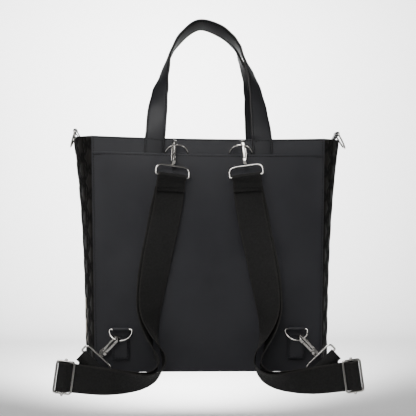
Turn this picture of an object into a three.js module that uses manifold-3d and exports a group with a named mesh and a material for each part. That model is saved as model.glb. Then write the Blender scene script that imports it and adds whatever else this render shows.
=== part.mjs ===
// A convertible backpack: a tote-shaped bag that hangs by its two handles, with two webbing shoulder straps
// clipped to its back by snap hooks.
// Millimetres, +Z up, the back with the straps towards -Y. The origin is under the arch of the two handles.

import * as THREE from 'three';
import { mergeVertices } from 'three/addons/utils/BufferGeometryUtils.js';
import Module from 'manifold-3d';

const wasm = await Module();
wasm.setup();

// Bag body
const bagHeight = 314;
const bagTopWidth = 311;
const bagBaseWidth = 301;
const bagTopDepth = 112;
const bagBaseDepth = 120;
const gussetTopBulge = 26;
const gussetBaseBulge = 13;
const gussetFlare = 3;
const panelBelly = 4;
const mouthDip = 2.5;
const mouthSlope = 3.5;
const leather = 2;
const gap = 0.3;
const seat = 0.6;

// Raised scales of the gussets
const reliefHeight = 1.2;
const reliefRows = 9;
const reliefColumns = 4;

// Slip pocket on the back
const pocketDrop = 21;
const pocketLeather = 1.5;
const pocketGap = 8.5;

// Carrying handles
const archRise = 146;
const handleSpread = 145;
const handleWidth = 27;
const handleThickness = 4;
const handleTuck = 45;
const handlesApart = 29;

// Webbing of the shoulder straps
const webbingWidth = 38;
const webbingThickness = 1.3;
const sewnEnd = 20;
const strapSpan = 155.5;
const strapReach = 311;
const sewnOverlap = 3;
const runFromLoop = 8;
const runToLoop = 5;
const lowerSewnStart = 6;
const lowerSewnEnd = 14;
const tailBack = 1;
const sliderClear = 1;
const returnClear = 3.5;
const returnSteps = 7;

// D-rings
const ringWidth = 32;
const ringHeight = 19.5;
const ringWire = 2.4;
const ringCorner = 3;
const upperRingSpread = 85;
const upperRingDrop = 26.5;
const upperRingTilt = 38;
const lowerRingInset = 34;
const lowerRingSpread = bagBaseWidth - 2 * lowerRingInset;
const lowerRingRise = 57;
const lowerRingDrop = bagHeight - lowerRingRise;
const lowerRingTilt = 35;
const sideRingHeight = 25;
const sideRingRise = 9;
const sideRingLean = 4.5;

// Leather tabs that hold the rings
const tabLeather = 1.5;
const tabWidth = 22;
const tabLength = 40;
const hiddenTabLength = 26;
const sideTabLength = 18;

// Snap hooks with their swivel loops
const hookThickness = 4;
const gateThickness = 3.2;
const hookWire = 3.4;
const hookGap = 7.6;
const hookShank = 20.5;
const hookBase = 7;
const hookPlay = 2.2;
const upperHookOut = 3.5;
const lowerHookOut = 6.9;
const noseDrop = 3;
const rivetRadius = 1.2;
const rivetHead = 1.2;
const loopWire = 2.6;
const loopPlay = 4;
const upperLoopHeight = 14;
const lowerLoopHeight = 11;

// Strap sliders
const sliderWidth = 26;
const sliderThickness = 3;
const sliderBar = 3;
const sliderRim = 3.2;
const sliderCorner = 4.4;

const bagTop = -archRise;
const bagBase = bagTop - bagHeight;
const degrees = Math.PI / 180;
const depthWay = new THREE.Vector3(0, 1, 0);
const point = (x, y, z) => new THREE.Vector3(x, y, z);
const mix = THREE.MathUtils.lerp;

const group = new THREE.Group();
const finish = {
  leather: { color: 0x1b1b1d, roughness: 0.45, metalness: 0 },
  embossed: { color: 0x151414, roughness: 0.5, metalness: 0 },
  webbing: { color: 0x161616, roughness: 0.85, metalness: 0 },
  nickel: { color: 0xb9bcbf, roughness: 0.25, metalness: 1 },
};

function add(name, geometry, look) {
  const mesh = new THREE.Mesh(geometry, new THREE.MeshStandardMaterial(finish[look]));
  mesh.name = name;
  group.add(mesh);
  return mesh;
}

// Six times the signed volume: negative where the faces point inwards.
function signedVolume(positions, faces) {
  const at = (i) => new THREE.Vector3().fromArray(positions, 3 * i);
  let sum = 0;
  for (let i = 0; i < faces.length; i += 3) {
    sum += at(faces[i]).dot(at(faces[i + 1]).cross(at(faces[i + 2])));
  }
  return sum;
}

// A solid skinned over rings of points. An open one is closed at both ends by a strip across its ring.
// The far half of each ring is split the other way, so that a thin twisted wall keeps its thickness.
function loft(rings, closed = false) {
  const count = rings[0].length;
  const positions = rings.flat().flatMap((p) => p.toArray());
  const faces = [];
  const quad = (a, b, c, d) => faces.push(a, b, c, a, c, d);
  for (let i = 0; i < rings.length - (closed ? 0 : 1); i++) {
    const here = i * count;
    const next = ((i + 1) % rings.length) * count;
    for (let j = 0; j < count; j++) {
      const k = (j + 1) % count;
      if (!closed && j >= count / 2) quad(here + k, next + k, next + j, here + j);
      else quad(here + j, here + k, next + k, next + j);
    }
  }
  const last = (rings.length - 1) * count;
  for (let j = 0; !closed && j < count / 2 - 1; j++) {
    const far = count - 1 - j;
    quad(j, far, far - 1, j + 1);
    quad(last + j, last + j + 1, last + far - 1, last + far);
  }
  if (signedVolume(positions, faces) < 0) faces.reverse();
  const geometry = new THREE.BufferGeometry();
  geometry.setAttribute('position', new THREE.Float32BufferAttribute(positions, 3));
  geometry.setIndex(faces);
  geometry.computeVertexNormals();
  return geometry;
}

// A wall between an outer and an inner surface, each a function of two shares from 0 to 1.
function wall(columns, rows, outer, inner) {
  const rings = [];
  for (let row = 0; row <= rows; row++) {
    const front = [];
    const back = [];
    for (let column = 0; column <= columns; column++) {
      front.push(outer(column / columns, row / rows));
      back.unshift(inner(column / columns, row / rows));
    }
    rings.push([...front, ...back]);
  }
  return loft(rings);
}

// A flat strap along stations, each with its middle, its width's way and its face's way.
function ribbon(stations, width, thickness, side = 1) {
  const corners = [[1, 1], [-1, 1], [-1, -1], [1, -1]];
  return loft(stations.map(({ at, across, face }) => corners.map(([w, f]) => {
    const corner = at.clone().addScaledVector(across, w * width / 2);
    corner.addScaledVector(face, f * thickness / 2);
    corner.x *= side;
    return corner;
  })));
}

// A closed loop of round wire along a flat outline.
function wireLoop(outline, radius, sides = 6) {
  const count = outline.length;
  return loft(outline.map((here, i) => {
    const along = outline[(i + 1) % count].clone().sub(outline[(i + count - 1) % count]).normalize();
    return Array.from({ length: sides }, (_, j) => {
      const turn = 2 * Math.PI * j / sides;
      const out = radius * Math.cos(turn);
      return point(here.x + along.y * out, here.y - along.x * out, radius * Math.sin(turn));
    });
  }), true);
}

function outlinePoints(path, divisions) {
  const points = path.getPoints(divisions);
  return points.filter((p, i) => p.distanceTo(points[(i + 1) % points.length]) > 0.01);
}

function toSolid(geometry) {
  const bare = geometry.clone();
  bare.deleteAttribute('normal');
  bare.deleteAttribute('uv');
  const merged = mergeVertices(bare, 1e-4);
  return new wasm.Manifold(new wasm.Mesh({
    numProp: 3,
    vertProperties: new Float32Array(merged.attributes.position.array),
    triVerts: new Uint32Array(merged.index.array),
  }));
}

function toGeometry(solid) {
  const mesh = solid.getMesh();
  const geometry = new THREE.BufferGeometry();
  geometry.setAttribute('position', new THREE.BufferAttribute(mesh.vertProperties, 3));
  geometry.setIndex(new THREE.BufferAttribute(mesh.triVerts, 1));
  geometry.computeVertexNormals();
  return geometry;
}

// Bag body: shares run from the base (0) to the mouth (1), and from one side (-1) to the other (1).
const halfWidth = (up) => mix(bagBaseWidth, bagTopWidth, up) / 2;
const halfDepth = (up) => mix(bagBaseDepth, bagTopDepth, up) / 2;
const bulge = (up) => mix(gussetBaseBulge, gussetTopBulge, up ** gussetFlare);
const heightAt = (across) => bagHeight - mouthDip * (1 - across * across) - mouthSlope * (across + 1) / 2;
const belly = (across, up) => panelBelly * (1 - across * across) * Math.sin(Math.PI * up);

// A point on the back (side -1) or front (side 1) panel, a distance out from its outer face.
function panelPoint(side, across, up, out) {
  const y = side * (halfDepth(up) + belly(across, up) + out);
  return point(across * halfWidth(up), y, bagBase + up * heightAt(across));
}

function panel(side, out, thickness, top, columns, rows) {
  const surface = (distance) => (u, v) => panelPoint(side, 2 * u - 1, v * top, distance(2 * u - 1, v * top));
  return wall(columns, rows, surface((a, u) => out(a, u) + thickness), surface(out));
}

// The slip pocket stands off the panel at its mouth and lies against it at its sides and base.
const pocketTop = 1 - pocketDrop / bagHeight;
function pocketStandOff(across, up) {
  const sides = 1 - across ** 6;
  const base = THREE.MathUtils.smoothstep(up, 0.45, pocketTop);
  return gap + pocketGap * sides * base;
}

function panels() {
  add('back_panel', panel(-1, () => -leather, leather, 1, 12, 10), 'leather');
  add('front_panel', panel(1, () => -leather, leather, 1, 12, 10), 'leather');
  add('back_pocket', panel(-1, pocketStandOff, pocketLeather, pocketTop, 14, 12), 'leather');
}

// A raised scale in the middle of each cell of the gusset's pattern.
function relief(across, up) {
  const hump = (share, cells) => Math.sin(Math.PI * share * cells) ** 2;
  return reliefHeight * hump((across + 1) / 2, reliefColumns) * hump(up, reliefRows);
}

function gussetPoint(side, across, up, out) {
  const depth = halfDepth(up) - leather - gap;
  const slope = -2 * bulge(up) * across / depth;
  const normal = point(1, -slope, 0).normalize();
  const x = halfWidth(up) + bulge(up) * (1 - across * across) + normal.x * out;
  return point(side * x, across * depth + normal.y * out, bagBase + up * heightAt(side));
}

function gussets() {
  for (const [name, side] of [['gusset_left', -1], ['gusset_right', 1]]) {
    const outer = (u, v) => gussetPoint(side, 2 * u - 1, v, relief(2 * u - 1, v));
    const inner = (u, v) => gussetPoint(side, 2 * u - 1, v, -leather);
    add(name, wall(3 * reliefColumns, 3 * reliefRows, outer, inner), 'embossed');
  }
}

function base() {
  const clear = 2 * leather;
  const level = (z) => (u, v) => {
    const across = 2 * v - 1;
    const reach = halfWidth(0) + bulge(0) * (1 - across * across) - clear;
    return point((2 * u - 1) * reach, across * (halfDepth(0) - leather - 2 * gap), bagBase + z);
  };
  add('base', wall(6, 6, level(0), level(leather)), 'leather');
}

// Handle arch, from its left foot to its right one: across is a share of half the spread, up a share of
// the rise from the mouth to the arch's middle line, turn the strap's twist in degrees.
const handleArch = [
  { across: -0.970, up: 0.02, turn: 0 },
  { across: -0.945, up: 0.177, turn: 8 },
  { across: -0.889, up: 0.381, turn: 38 },
  { across: -0.806, up: 0.545, turn: 68 },
  { across: -0.683, up: 0.745, turn: 90 },
  { across: -0.474, up: 0.894, turn: 105 },
  { across: -0.152, up: 0.999, turn: 113 },
  { across: 0.222, up: 0.953, turn: 114 },
  { across: 0.449, up: 0.874, turn: 106 },
  { across: 0.592, up: 0.790, turn: 97 },
  { across: 0.676, up: 0.699, turn: 86 },
  { across: 0.799, up: 0.556, turn: 70 },
  { across: 0.883, up: 0.400, turn: 50 },
  { across: 0.935, up: 0.221, turn: 30 },
  { across: 0.977, up: 0.02, turn: 8 },
];

function handle(side) {
  const rise = archRise + handleThickness / 2 + handleWidth / 5;
  const footOut = seat + handleThickness / 2;
  const foot = (across, drop) => {
    const share = across * handleSpread / bagTopWidth;
    const up = 1 - drop / bagHeight;
    const spot = panelPoint(side, share, up, footOut);
    return { at: spot, turn: 0 };
  };
  const rows = handleArch.map(({ across, up, turn }) => {
    const y = side * mix(halfDepth(1) + footOut, handlesApart / 2, up);
    return { at: point(across * handleSpread / 2, y, bagTop + up * rise), turn };
  });
  const feet = [foot(-1, handleTuck), foot(-1, handleTuck / 2), foot(-0.99, 4)];
  const otherFeet = [foot(0.99, 4), foot(1, handleTuck / 2), foot(1, handleTuck)];
  const stops = [...feet, ...rows, ...otherFeet];
  const curve = new THREE.CatmullRomCurve3(stops.map(({ at }) => at), false, 'centripetal');
  const stations = [];
  const steps = 2 * (stops.length - 1);
  for (let i = 0; i <= steps; i++) {
    const share = i / steps;
    const along = curve.getTangent(share);
    const depth = depthWay.clone().multiplyScalar(-side);
    depth.addScaledVector(along, -depth.dot(along)).normalize();
    const outward = depth.clone().cross(along).multiplyScalar(side);
    const turn = degrees * mix(stops[Math.floor(i / 2)].turn, stops[Math.ceil(i / 2)].turn, 0.5);
    const across = outward.multiplyScalar(Math.cos(turn)).addScaledVector(depth, Math.sin(turn));
    stations.push({ at: curve.getPoint(share), across, face: along.clone().cross(across) });
  }
  return ribbon(stations, handleWidth, handleThickness);
}

// Where a piece sits on the back: how far the panel or the pocket comes out towards the straps.
function panelFace(x, z) {
  const up = THREE.MathUtils.clamp((z - bagBase) / bagHeight, 0, 1);
  const across = THREE.MathUtils.clamp(x / halfWidth(up), -1, 1);
  return halfDepth(up) + belly(across, up);
}

function pocketFace(x, z) {
  const up = (z - bagBase) / bagHeight;
  return panelFace(x, z) + pocketStandOff(x / halfWidth(up), up) + pocketLeather;
}

// Pieces of a pair are worked out with x outwards, and turned to their own side at the end.
const sides = [['left', -1], ['right', 1]];
const mirrored = (v, side) => point(side * v.x, v.y, v.z);

function place(mesh, side, at, x, y) {
  const across = mirrored(x, side).normalize();
  const up = mirrored(y, side);
  up.addScaledVector(across, -up.dot(across)).normalize();
  mesh.position.copy(mirrored(at, side));
  mesh.quaternion.setFromRotationMatrix(new THREE.Matrix4().makeBasis(across, up, across.clone().cross(up)));
  return mesh;
}

// D-ring about the middle of its straight bar, its arc towards +Y.
function ringGeometry(height) {
  const half = (ringWidth - ringWire) / 2;
  const path = new THREE.Path();
  path.moveTo(ringCorner - half, 0).lineTo(half - ringCorner, 0).quadraticCurveTo(half, 0, half, ringCorner);
  path.absellipse(0, ringCorner, half, height - ringWire - ringCorner, 0, Math.PI);
  path.quadraticCurveTo(-half, 0, ringCorner - half, 0);
  return wireLoop(outlinePoints(path, 4), ringWire / 2);
}

// The point of a ring's arc that lies a distance outwards of its middle.
function ringContact(bar, arcWay, outward) {
  const half = (ringWidth - ringWire) / 2;
  const arc = (ringHeight - ringWire - ringCorner) * Math.sqrt(1 - (outward / half) ** 2);
  return bar.clone().add(point(outward, 0, 0)).addScaledVector(arcWay, ringCorner + arc);
}

// A leather tab folded over a ring's bar. Its legs hang down, the inner one against the bag.
const tabRadius = ringWire / 2 + gap + tabLeather / 2;
function foldedTab(bar, length, outWay, widthWay, width, side) {
  const outerLeg = tabLeather + gap;
  const stops = [[outerLeg, -length], [outerLeg, -2.5 * tabRadius]];
  for (let i = 0; i <= 6; i++) {
    const turn = Math.PI * i / 6;
    stops.push([tabRadius * (1 + Math.cos(turn)), tabRadius * Math.sin(turn)]);
  }
  stops.push([0, -2.5 * tabRadius], [0, -length]);
  const spot = ([out, z]) => bar.clone().addScaledVector(outWay, out - tabRadius).add(point(0, 0, z));
  const spots = stops.map(spot);
  return ribbon(spots.map((at, i) => {
    const along = spots[Math.min(i + 1, spots.length - 1)].clone().sub(spots[Math.max(i - 1, 0)]).normalize();
    return { at, across: widthWay, face: along.cross(widthWay) };
  }), width, tabLeather, side);
}

// How far a face comes out along a tab that hangs from a place.
function farthest(face, at, length) {
  const drops = [-0.1, 0, 0.2, 0.4, 0.6, 0.8, 1];
  return Math.max(...drops.map((drop) => face(at.x - tabWidth / 2, at.z - drop * length)));
}

// Rings in their tabs. The upper pair sits in the pocket's mouth, the lower pair on the pocket.
const outOfBack = point(0, -1, 0);
const sideways = point(1, 0, 0);
const barOut = seat + tabRadius + tabLeather / 2;
const upperBar = point(upperRingSpread / 2, 0, bagTop - upperRingDrop);
upperBar.y = -farthest(panelFace, upperBar, hiddenTabLength) - barOut;
const lowerBar = point(lowerRingSpread / 2, 0, bagTop - lowerRingDrop);
lowerBar.y = -farthest(pocketFace, lowerBar, tabLength) - barOut;
const upperArc = point(0, -Math.sin(degrees * upperRingTilt), Math.cos(degrees * upperRingTilt));
const lowerArc = point(0, -Math.sin(degrees * lowerRingTilt), -Math.cos(degrees * lowerRingTilt));

function backRings() {
  for (const [name, side] of sides) {
    place(add(`upper_ring_${name}`, ringGeometry(ringHeight), 'nickel'), side, upperBar, sideways, upperArc);
    place(add(`lower_ring_${name}`, ringGeometry(ringHeight), 'nickel'), side, lowerBar, sideways, lowerArc);
    const hidden = foldedTab(upperBar, hiddenTabLength, outOfBack, sideways, tabWidth, side);
    add(`upper_tab_${name}`, hidden, 'leather');
    const shown = foldedTab(lowerBar, tabLength, outOfBack, sideways, tabWidth, side);
    add(`lower_tab_${name}`, shown, 'leather');
  }
}

// Side rings hang outwards from a tab that is sewn inside each gusset.
const sideRingTilts = { left: 16, right: 29 };
function sideRings() {
  for (const [name, side] of sides) {
    const hem = gussetPoint(1, tabWidth / bagTopDepth, 1 - sideTabLength / bagHeight, -leather);
    const x = hem.x - seat - tabLeather / 2;
    const mouth = bagBase + heightAt(side);
    const bar = point(x + sideRingLean, 0, mouth + sideRingRise);
    const legs = [[x - tabLeather - gap, -sideTabLength], [x - tabLeather - gap, -2], [x - 1, 2]];
    const loop = Array.from({ length: 7 }, (_, i) => {
      const turn = Math.PI * (1.1 - 1.2 * i / 6);
      return [bar.x + tabRadius * Math.cos(turn), sideRingRise + tabRadius * Math.sin(turn)];
    });
    const spots = [...legs, ...loop, [x + 2.4, 3.4], [x, -1], [x, -sideTabLength]];
    const places = spots.map(([out, rise]) => point(out, 0, mouth + rise));
    const stations = places.map((at, i) => {
      const next = places[Math.min(i + 1, places.length - 1)];
      const along = next.clone().sub(places[Math.max(i - 1, 0)]).normalize();
      return { at, across: depthWay, face: along.cross(depthWay) };
    });
    add(`side_tab_${name}`, ribbon(stations, tabWidth, tabLeather, side), 'leather');
    const tilt = degrees * sideRingTilts[name];
    const arcWay = point(Math.sin(tilt), 0, -Math.cos(tilt));
    place(add(`side_ring_${name}`, ringGeometry(sideRingHeight), 'nickel'), side, bar, depthWay, arcWay);
  }
}

// Snap hook in its own plane: y runs from its base to its cap, the spine on +X and the gate on -X.
const hookInside = hookGap / 2;
const hookOutside = hookInside + hookWire;
const capHeight = hookBase + hookShank;
const noseHeight = capHeight - noseDrop;
const gateRadius = hookWire / 2 - 0.1;
const gatePivot = point(-(hookInside + hookWire / 2), hookBase + gap + gateRadius, 0);

function extruded(shape, thickness) {
  const options = { depth: thickness, bevelEnabled: false, curveSegments: 6 };
  return new THREE.ExtrudeGeometry(shape, options).translate(0, 0, -thickness / 2);
}

function hookBody() {
  const shape = new THREE.Shape();
  const waist = hookWire;
  shape.moveTo(-waist, 0).lineTo(waist, 0).lineTo(hookOutside, waist).lineTo(hookOutside, capHeight);
  shape.absarc(0, capHeight, hookOutside, 0, Math.PI);
  shape.lineTo(-hookOutside, noseHeight).lineTo(-hookInside, noseHeight);
  shape.absarc(0, capHeight, hookInside, Math.PI, 0, true);
  shape.lineTo(hookInside, hookBase).lineTo(-hookOutside, hookBase).lineTo(-hookOutside, waist);
  const bore = new THREE.CylinderGeometry(rivetRadius + gap, rivetRadius + gap, 3 * hookBase, 10);
  return toGeometry(toSolid(extruded(shape, hookThickness)).subtract(toSolid(bore)));
}

function gateLever() {
  const shape = new THREE.Shape();
  const length = noseHeight - gap - gatePivot.y;
  shape.absarc(0, 0, gateRadius, Math.PI, 2 * Math.PI);
  shape.lineTo(gateRadius, length).lineTo(-gateRadius, length);
  return extruded(shape, gateThickness);
}

const loopTop = -gap - loopWire / 2;
function swivelLoop(height) {
  const half = (webbingWidth + loopPlay + loopWire) / 2;
  const low = loopTop - height;
  const corner = loopPlay / 2;
  const shoulder = height / 2;
  const path = new THREE.Path();
  path.moveTo(corner - half, low).lineTo(half - corner, low).quadraticCurveTo(half, low, half, low + corner);
  path.lineTo(half, loopTop - shoulder).quadraticCurveTo(half, loopTop, half - shoulder, loopTop);
  path.lineTo(shoulder - half, loopTop).quadraticCurveTo(-half, loopTop, -half, loopTop - shoulder);
  path.lineTo(-half, low + corner).quadraticCurveTo(-half, low, corner - half, low);
  const loop = wireLoop(outlinePoints(path, 3), loopWire / 2);
  const postLength = hookBase + gap + rivetHead - loopTop;
  const post = new THREE.CylinderGeometry(rivetRadius, rivetRadius, postLength, 8);
  post.translate(0, loopTop + postLength / 2, 0);
  const head = new THREE.CylinderGeometry(rivetRadius + 1, rivetRadius + 1, rivetHead, 8);
  head.translate(0, hookBase + gap + rivetHead / 2, 0);
  return toGeometry(toSolid(loop).add(toSolid(post)).add(toSolid(head)));
}

// A hook that hangs on a ring: up is its way from base to cap, spine the way of its spine's side and
// loopWay that of its swivel loop's bar. It gives the middle of that bar.
function snapHook(name, side, contact, up, spine, loopWay, loopHeight) {
  const hung = capHeight + hookInside - hookPlay - ringWire / 2;
  const foot = contact.clone().addScaledVector(up, -hung);
  const flat = spine.clone().addScaledVector(up, -spine.dot(up)).normalize();
  place(add(`hook_${name}`, hookBody(), 'nickel'), side, foot, flat, up);
  const pivot = foot.clone().addScaledVector(flat, gatePivot.x).addScaledVector(up, gatePivot.y);
  place(add(`gate_${name}`, gateLever(), 'nickel'), side, pivot, flat, up);
  const bar = loopWay.clone().addScaledVector(up, -loopWay.dot(up)).normalize();
  place(add(`swivel_${name}`, swivelLoop(loopHeight), 'nickel'), side, foot, bar, up);
  return { at: foot.clone().addScaledVector(up, loopTop - loopHeight), across: bar };
}

function slider(name, side) {
  const half = sliderWidth / 2;
  const long = webbingWidth / 2 + gap + sliderRim;
  const shape = new THREE.Shape();
  const corner = sliderCorner;
  const bump = sliderBar;
  shape.moveTo(-half, corner - long).quadraticCurveTo(-half, -long, corner - half, -long);
  shape.lineTo(-bump, -long);
  shape.absarc(0, -long, bump, Math.PI, 2 * Math.PI);
  shape.lineTo(half - corner, -long).quadraticCurveTo(half, -long, half, corner - long);
  shape.lineTo(half, long - corner).quadraticCurveTo(half, long, half - corner, long).lineTo(bump, long);
  shape.absarc(0, long, bump, 0, Math.PI);
  shape.lineTo(corner - half, long).quadraticCurveTo(-half, long, -half, long - corner);
  let frame = toSolid(extruded(shape, sliderThickness));
  const slotWidth = half - sliderRim - sliderBar / 2;
  for (const way of [-1, 1]) {
    const slot = new THREE.BoxGeometry(slotWidth, 2 * (long - sliderRim), 2 * sliderThickness);
    frame = frame.subtract(toSolid(slot.translate(way * (sliderBar + slotWidth) / 2, 0, 0)));
  }
  place(add(`slider_${name}`, toGeometry(frame), 'nickel'), side, sliderAt, sliderWay, sliderLong);
}

panels();
gussets();
base();
add('handle_rear', handle(-1), 'leather');
add('handle_front', handle(1), 'leather');

backRings();
sideRings();

// Route of a shoulder strap from the upper swivel loop to its slider, with x outwards: across is a share of
// the strap's span, down of its reach below the mouth, out of the webbing's width off the panel's
// plane, turn the way that the outer edge has swung towards the viewer in degrees, apart the share of the
// webbing's width between the two layers, and slip how far the second layer shows past the first.
const strapRoute = [
  { across: 0.332, down: 0.235, out: 0.46, turn: 8, apart: 0.085, slip: 0.04 },
  { across: 0.358, down: 0.319, out: 0.36, turn: 3, apart: 0.08, slip: 0.10 },
  { across: 0.395, down: 0.412, out: 0.33, turn: 5, apart: 0.075, slip: 0.08 },
  { across: 0.437, down: 0.513, out: 0.36, turn: 13, apart: 0.075, slip: 0.08 },
  { across: 0.471, down: 0.606, out: 0.43, turn: 23, apart: 0.075, slip: 0.08 },
  { across: 0.493, down: 0.682, out: 0.50, turn: 32, apart: 0.08, slip: 0.05 },
  { across: 0.500, down: 0.729, out: 0.58, turn: 43, apart: 0.10, slip: 0.04 },
  { across: 0.493, down: 0.776, out: 0.64, turn: 57, apart: 0.12, slip: 0.02 },
  { across: 0.471, down: 0.822, out: 0.70, turn: 73, apart: 0.17, slip: 0 },
  { across: 0.434, down: 0.869, out: 0.72, turn: 90, apart: 0.22, slip: 0 },
  { across: 0.395, down: 0.911, out: 0.73, turn: 98, apart: 0.25, slip: 0 },
  { across: 0.382, down: 0.949, out: 0.74, turn: 97, apart: 0.24, slip: 0 },
  { across: 0.410, down: 0.985, out: 0.75, turn: 84, apart: 0.18, slip: 0 },
  { across: 0.474, down: 1.014, out: 0.75, turn: 68, apart: 0.11, slip: 0 },
  { across: 0.563, down: 1.030, out: 0.72, turn: 54, apart: 0.09, slip: 0 },
  { across: 0.698, down: 1.036, out: 0.67, turn: 38, apart: 0.08, slip: 0 },
  { across: 0.884, down: 1.033, out: 0.60, turn: 18, apart: 0.075, slip: 0 },
];
const flapShares = [0.9, 0.8, 0.7, 0.6, 0.5, 0.4, 0.3];
const sliderAcross = 1.226;
const sliderDown = 1.014;
const sliderOut = 0.5;
const sliderTilt = 8;

const layerStep = webbingThickness + gap;
const loopWrap = loopWire / 2 + seat + webbingThickness / 2;
const innerWrap = sliderBar / Math.SQRT2 + gap + webbingThickness / 2;
const outerWrap = innerWrap + layerStep;

// The webbing comes from behind the slider's rim, rises through a slot at a slant, passes over the bar and
// goes back below. Each layer has its own radius round the bar.
const underRim = sliderThickness / 2 + gap + webbingThickness / 2;
const underLayers = underRim + 2 * layerStep + gap / 2;
const slotCorner = sliderWidth / 2 - sliderRim - gap;
const layerShift = 0.66;
const slantTurn = 46.6;
const underTurn = 250;

// The route keeps its place from the upper ring at its top and from the lower ring below that one.
const upperRow = { acrossShare: 0.2733, downShare: 0.0756 };
upperRow.across = upperRingSpread / 2;
upperRow.down = upperRingDrop;
const lowerRow = { acrossShare: 0.7492, downShare: 0.8167 };
lowerRow.across = lowerRingSpread / 2;
lowerRow.down = lowerRingDrop;
function onBack(across, down, out) {
  const share = THREE.MathUtils.smoothstep(down, upperRow.downShare, lowerRow.downShare);
  const from = (row) => point(row.across + (across - row.acrossShare) * strapSpan, 0,
    bagTop - row.down - (down - row.downShare) * strapReach);
  const spot = from(upperRow).lerp(from(lowerRow), share);
  return spot.setY(-bagBaseDepth / 2 - out * webbingWidth);
}
const sliderAt = onBack(sliderAcross, sliderDown, sliderOut);
const sliderWay = point(Math.cos(degrees * sliderTilt), 0, Math.sin(degrees * sliderTilt));
const sliderLong = point(-sliderWay.z, 0, sliderWay.x);
const moved = (at, ...steps) => steps.reduce((sum, [way, by]) => sum.addScaledVector(way, by), at.clone());

// The part of a way that is square to an axis, as a unit.
const squareTo = (axis, way) => way.addScaledVector(axis, -way.dot(axis)).normalize();

// Half a turn of webbing round a bar: it comes off the bar's far side, goes round its nose and back in front.
function wrap(at, across, nose, face, radius) {
  return Array.from({ length: 7 }, (_, i) => {
    const turn = Math.PI * i / 6;
    const out = moved(point(0, 0, 0), [face, -Math.cos(turn)], [nose, Math.sin(turn)]);
    return { at: moved(at, [out, radius]), across, face: out };
  });
}

// The main run between two exact ends, with the webbing's turn, and how far its second layer lies apart.
function mainRun(start, end) {
  const rows = strapRoute.map((row) => ({ ...row, at: onBack(row.across, row.down, row.out) }));
  const stops = [start, ...rows, end];
  const curve = new THREE.CatmullRomCurve3(stops.map(({ at }) => at), false, 'centripetal');
  const steps = 2 * (stops.length - 1);
  return Array.from({ length: steps + 1 }, (_, i) => {
    const [before, after] = [stops[Math.floor(i / 2)], stops[Math.ceil(i / 2)]];
    const value = (key) => (before[key] + after[key]) / 2;
    const along = curve.getTangent(i / steps);
    const level = along.clone().cross(depthWay).normalize();
    const turn = degrees * value('turn');
    const across = level.multiplyScalar(Math.cos(turn)).addScaledVector(depthWay, -Math.sin(turn));
    across.addScaledVector(along, -across.dot(along)).normalize();
    const face = along.clone().cross(across);
    return { at: curve.getPoint(i / steps), across, face, apart: value('apart'), slip: value('slip') };
  });
}

// A place on the run a distance from its start, lifted off its face.
function onRun(run, distance, lift) {
  let i = 0;
  let left = distance;
  while (left > run[i].at.distanceTo(run[i + 1].at)) {
    left -= run[i].at.distanceTo(run[i + 1].at);
    i += 1;
  }
  const share = left / run[i].at.distanceTo(run[i + 1].at);
  const blend = (key) => run[i][key].clone().lerp(run[i + 1][key], share);
  const face = blend('face').normalize();
  return { at: moved(blend('at'), [face, lift]), across: blend('across').normalize(), face };
}

// A place beside the slider's bar: back towards the bag and out to the viewer.
const sliderFace = point(0, -1, 0);
const besideBar = (back, out) => moved(sliderAt, [sliderWay, -back], [sliderFace, out]);
function overBar(corner, low, radius, tail) {
  const arc = Array.from({ length: 9 }, (_, i) => degrees * mix(slantTurn, underTurn, i / 8));
  const places = [
    besideBar(corner, -low),
    ...arc.map((turn) => besideBar(radius * Math.cos(turn), radius * Math.sin(turn))),
    ...tail.map(([back, out]) => besideBar(back, out)),
  ];
  return places.map((at, i) => {
    const before = places[Math.max(i - 1, 0)];
    const along = places[Math.min(i + 1, places.length - 1)].clone().sub(before).normalize();
    return { at, across: sliderLong, face: along.cross(sliderLong) };
  });
}

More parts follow.
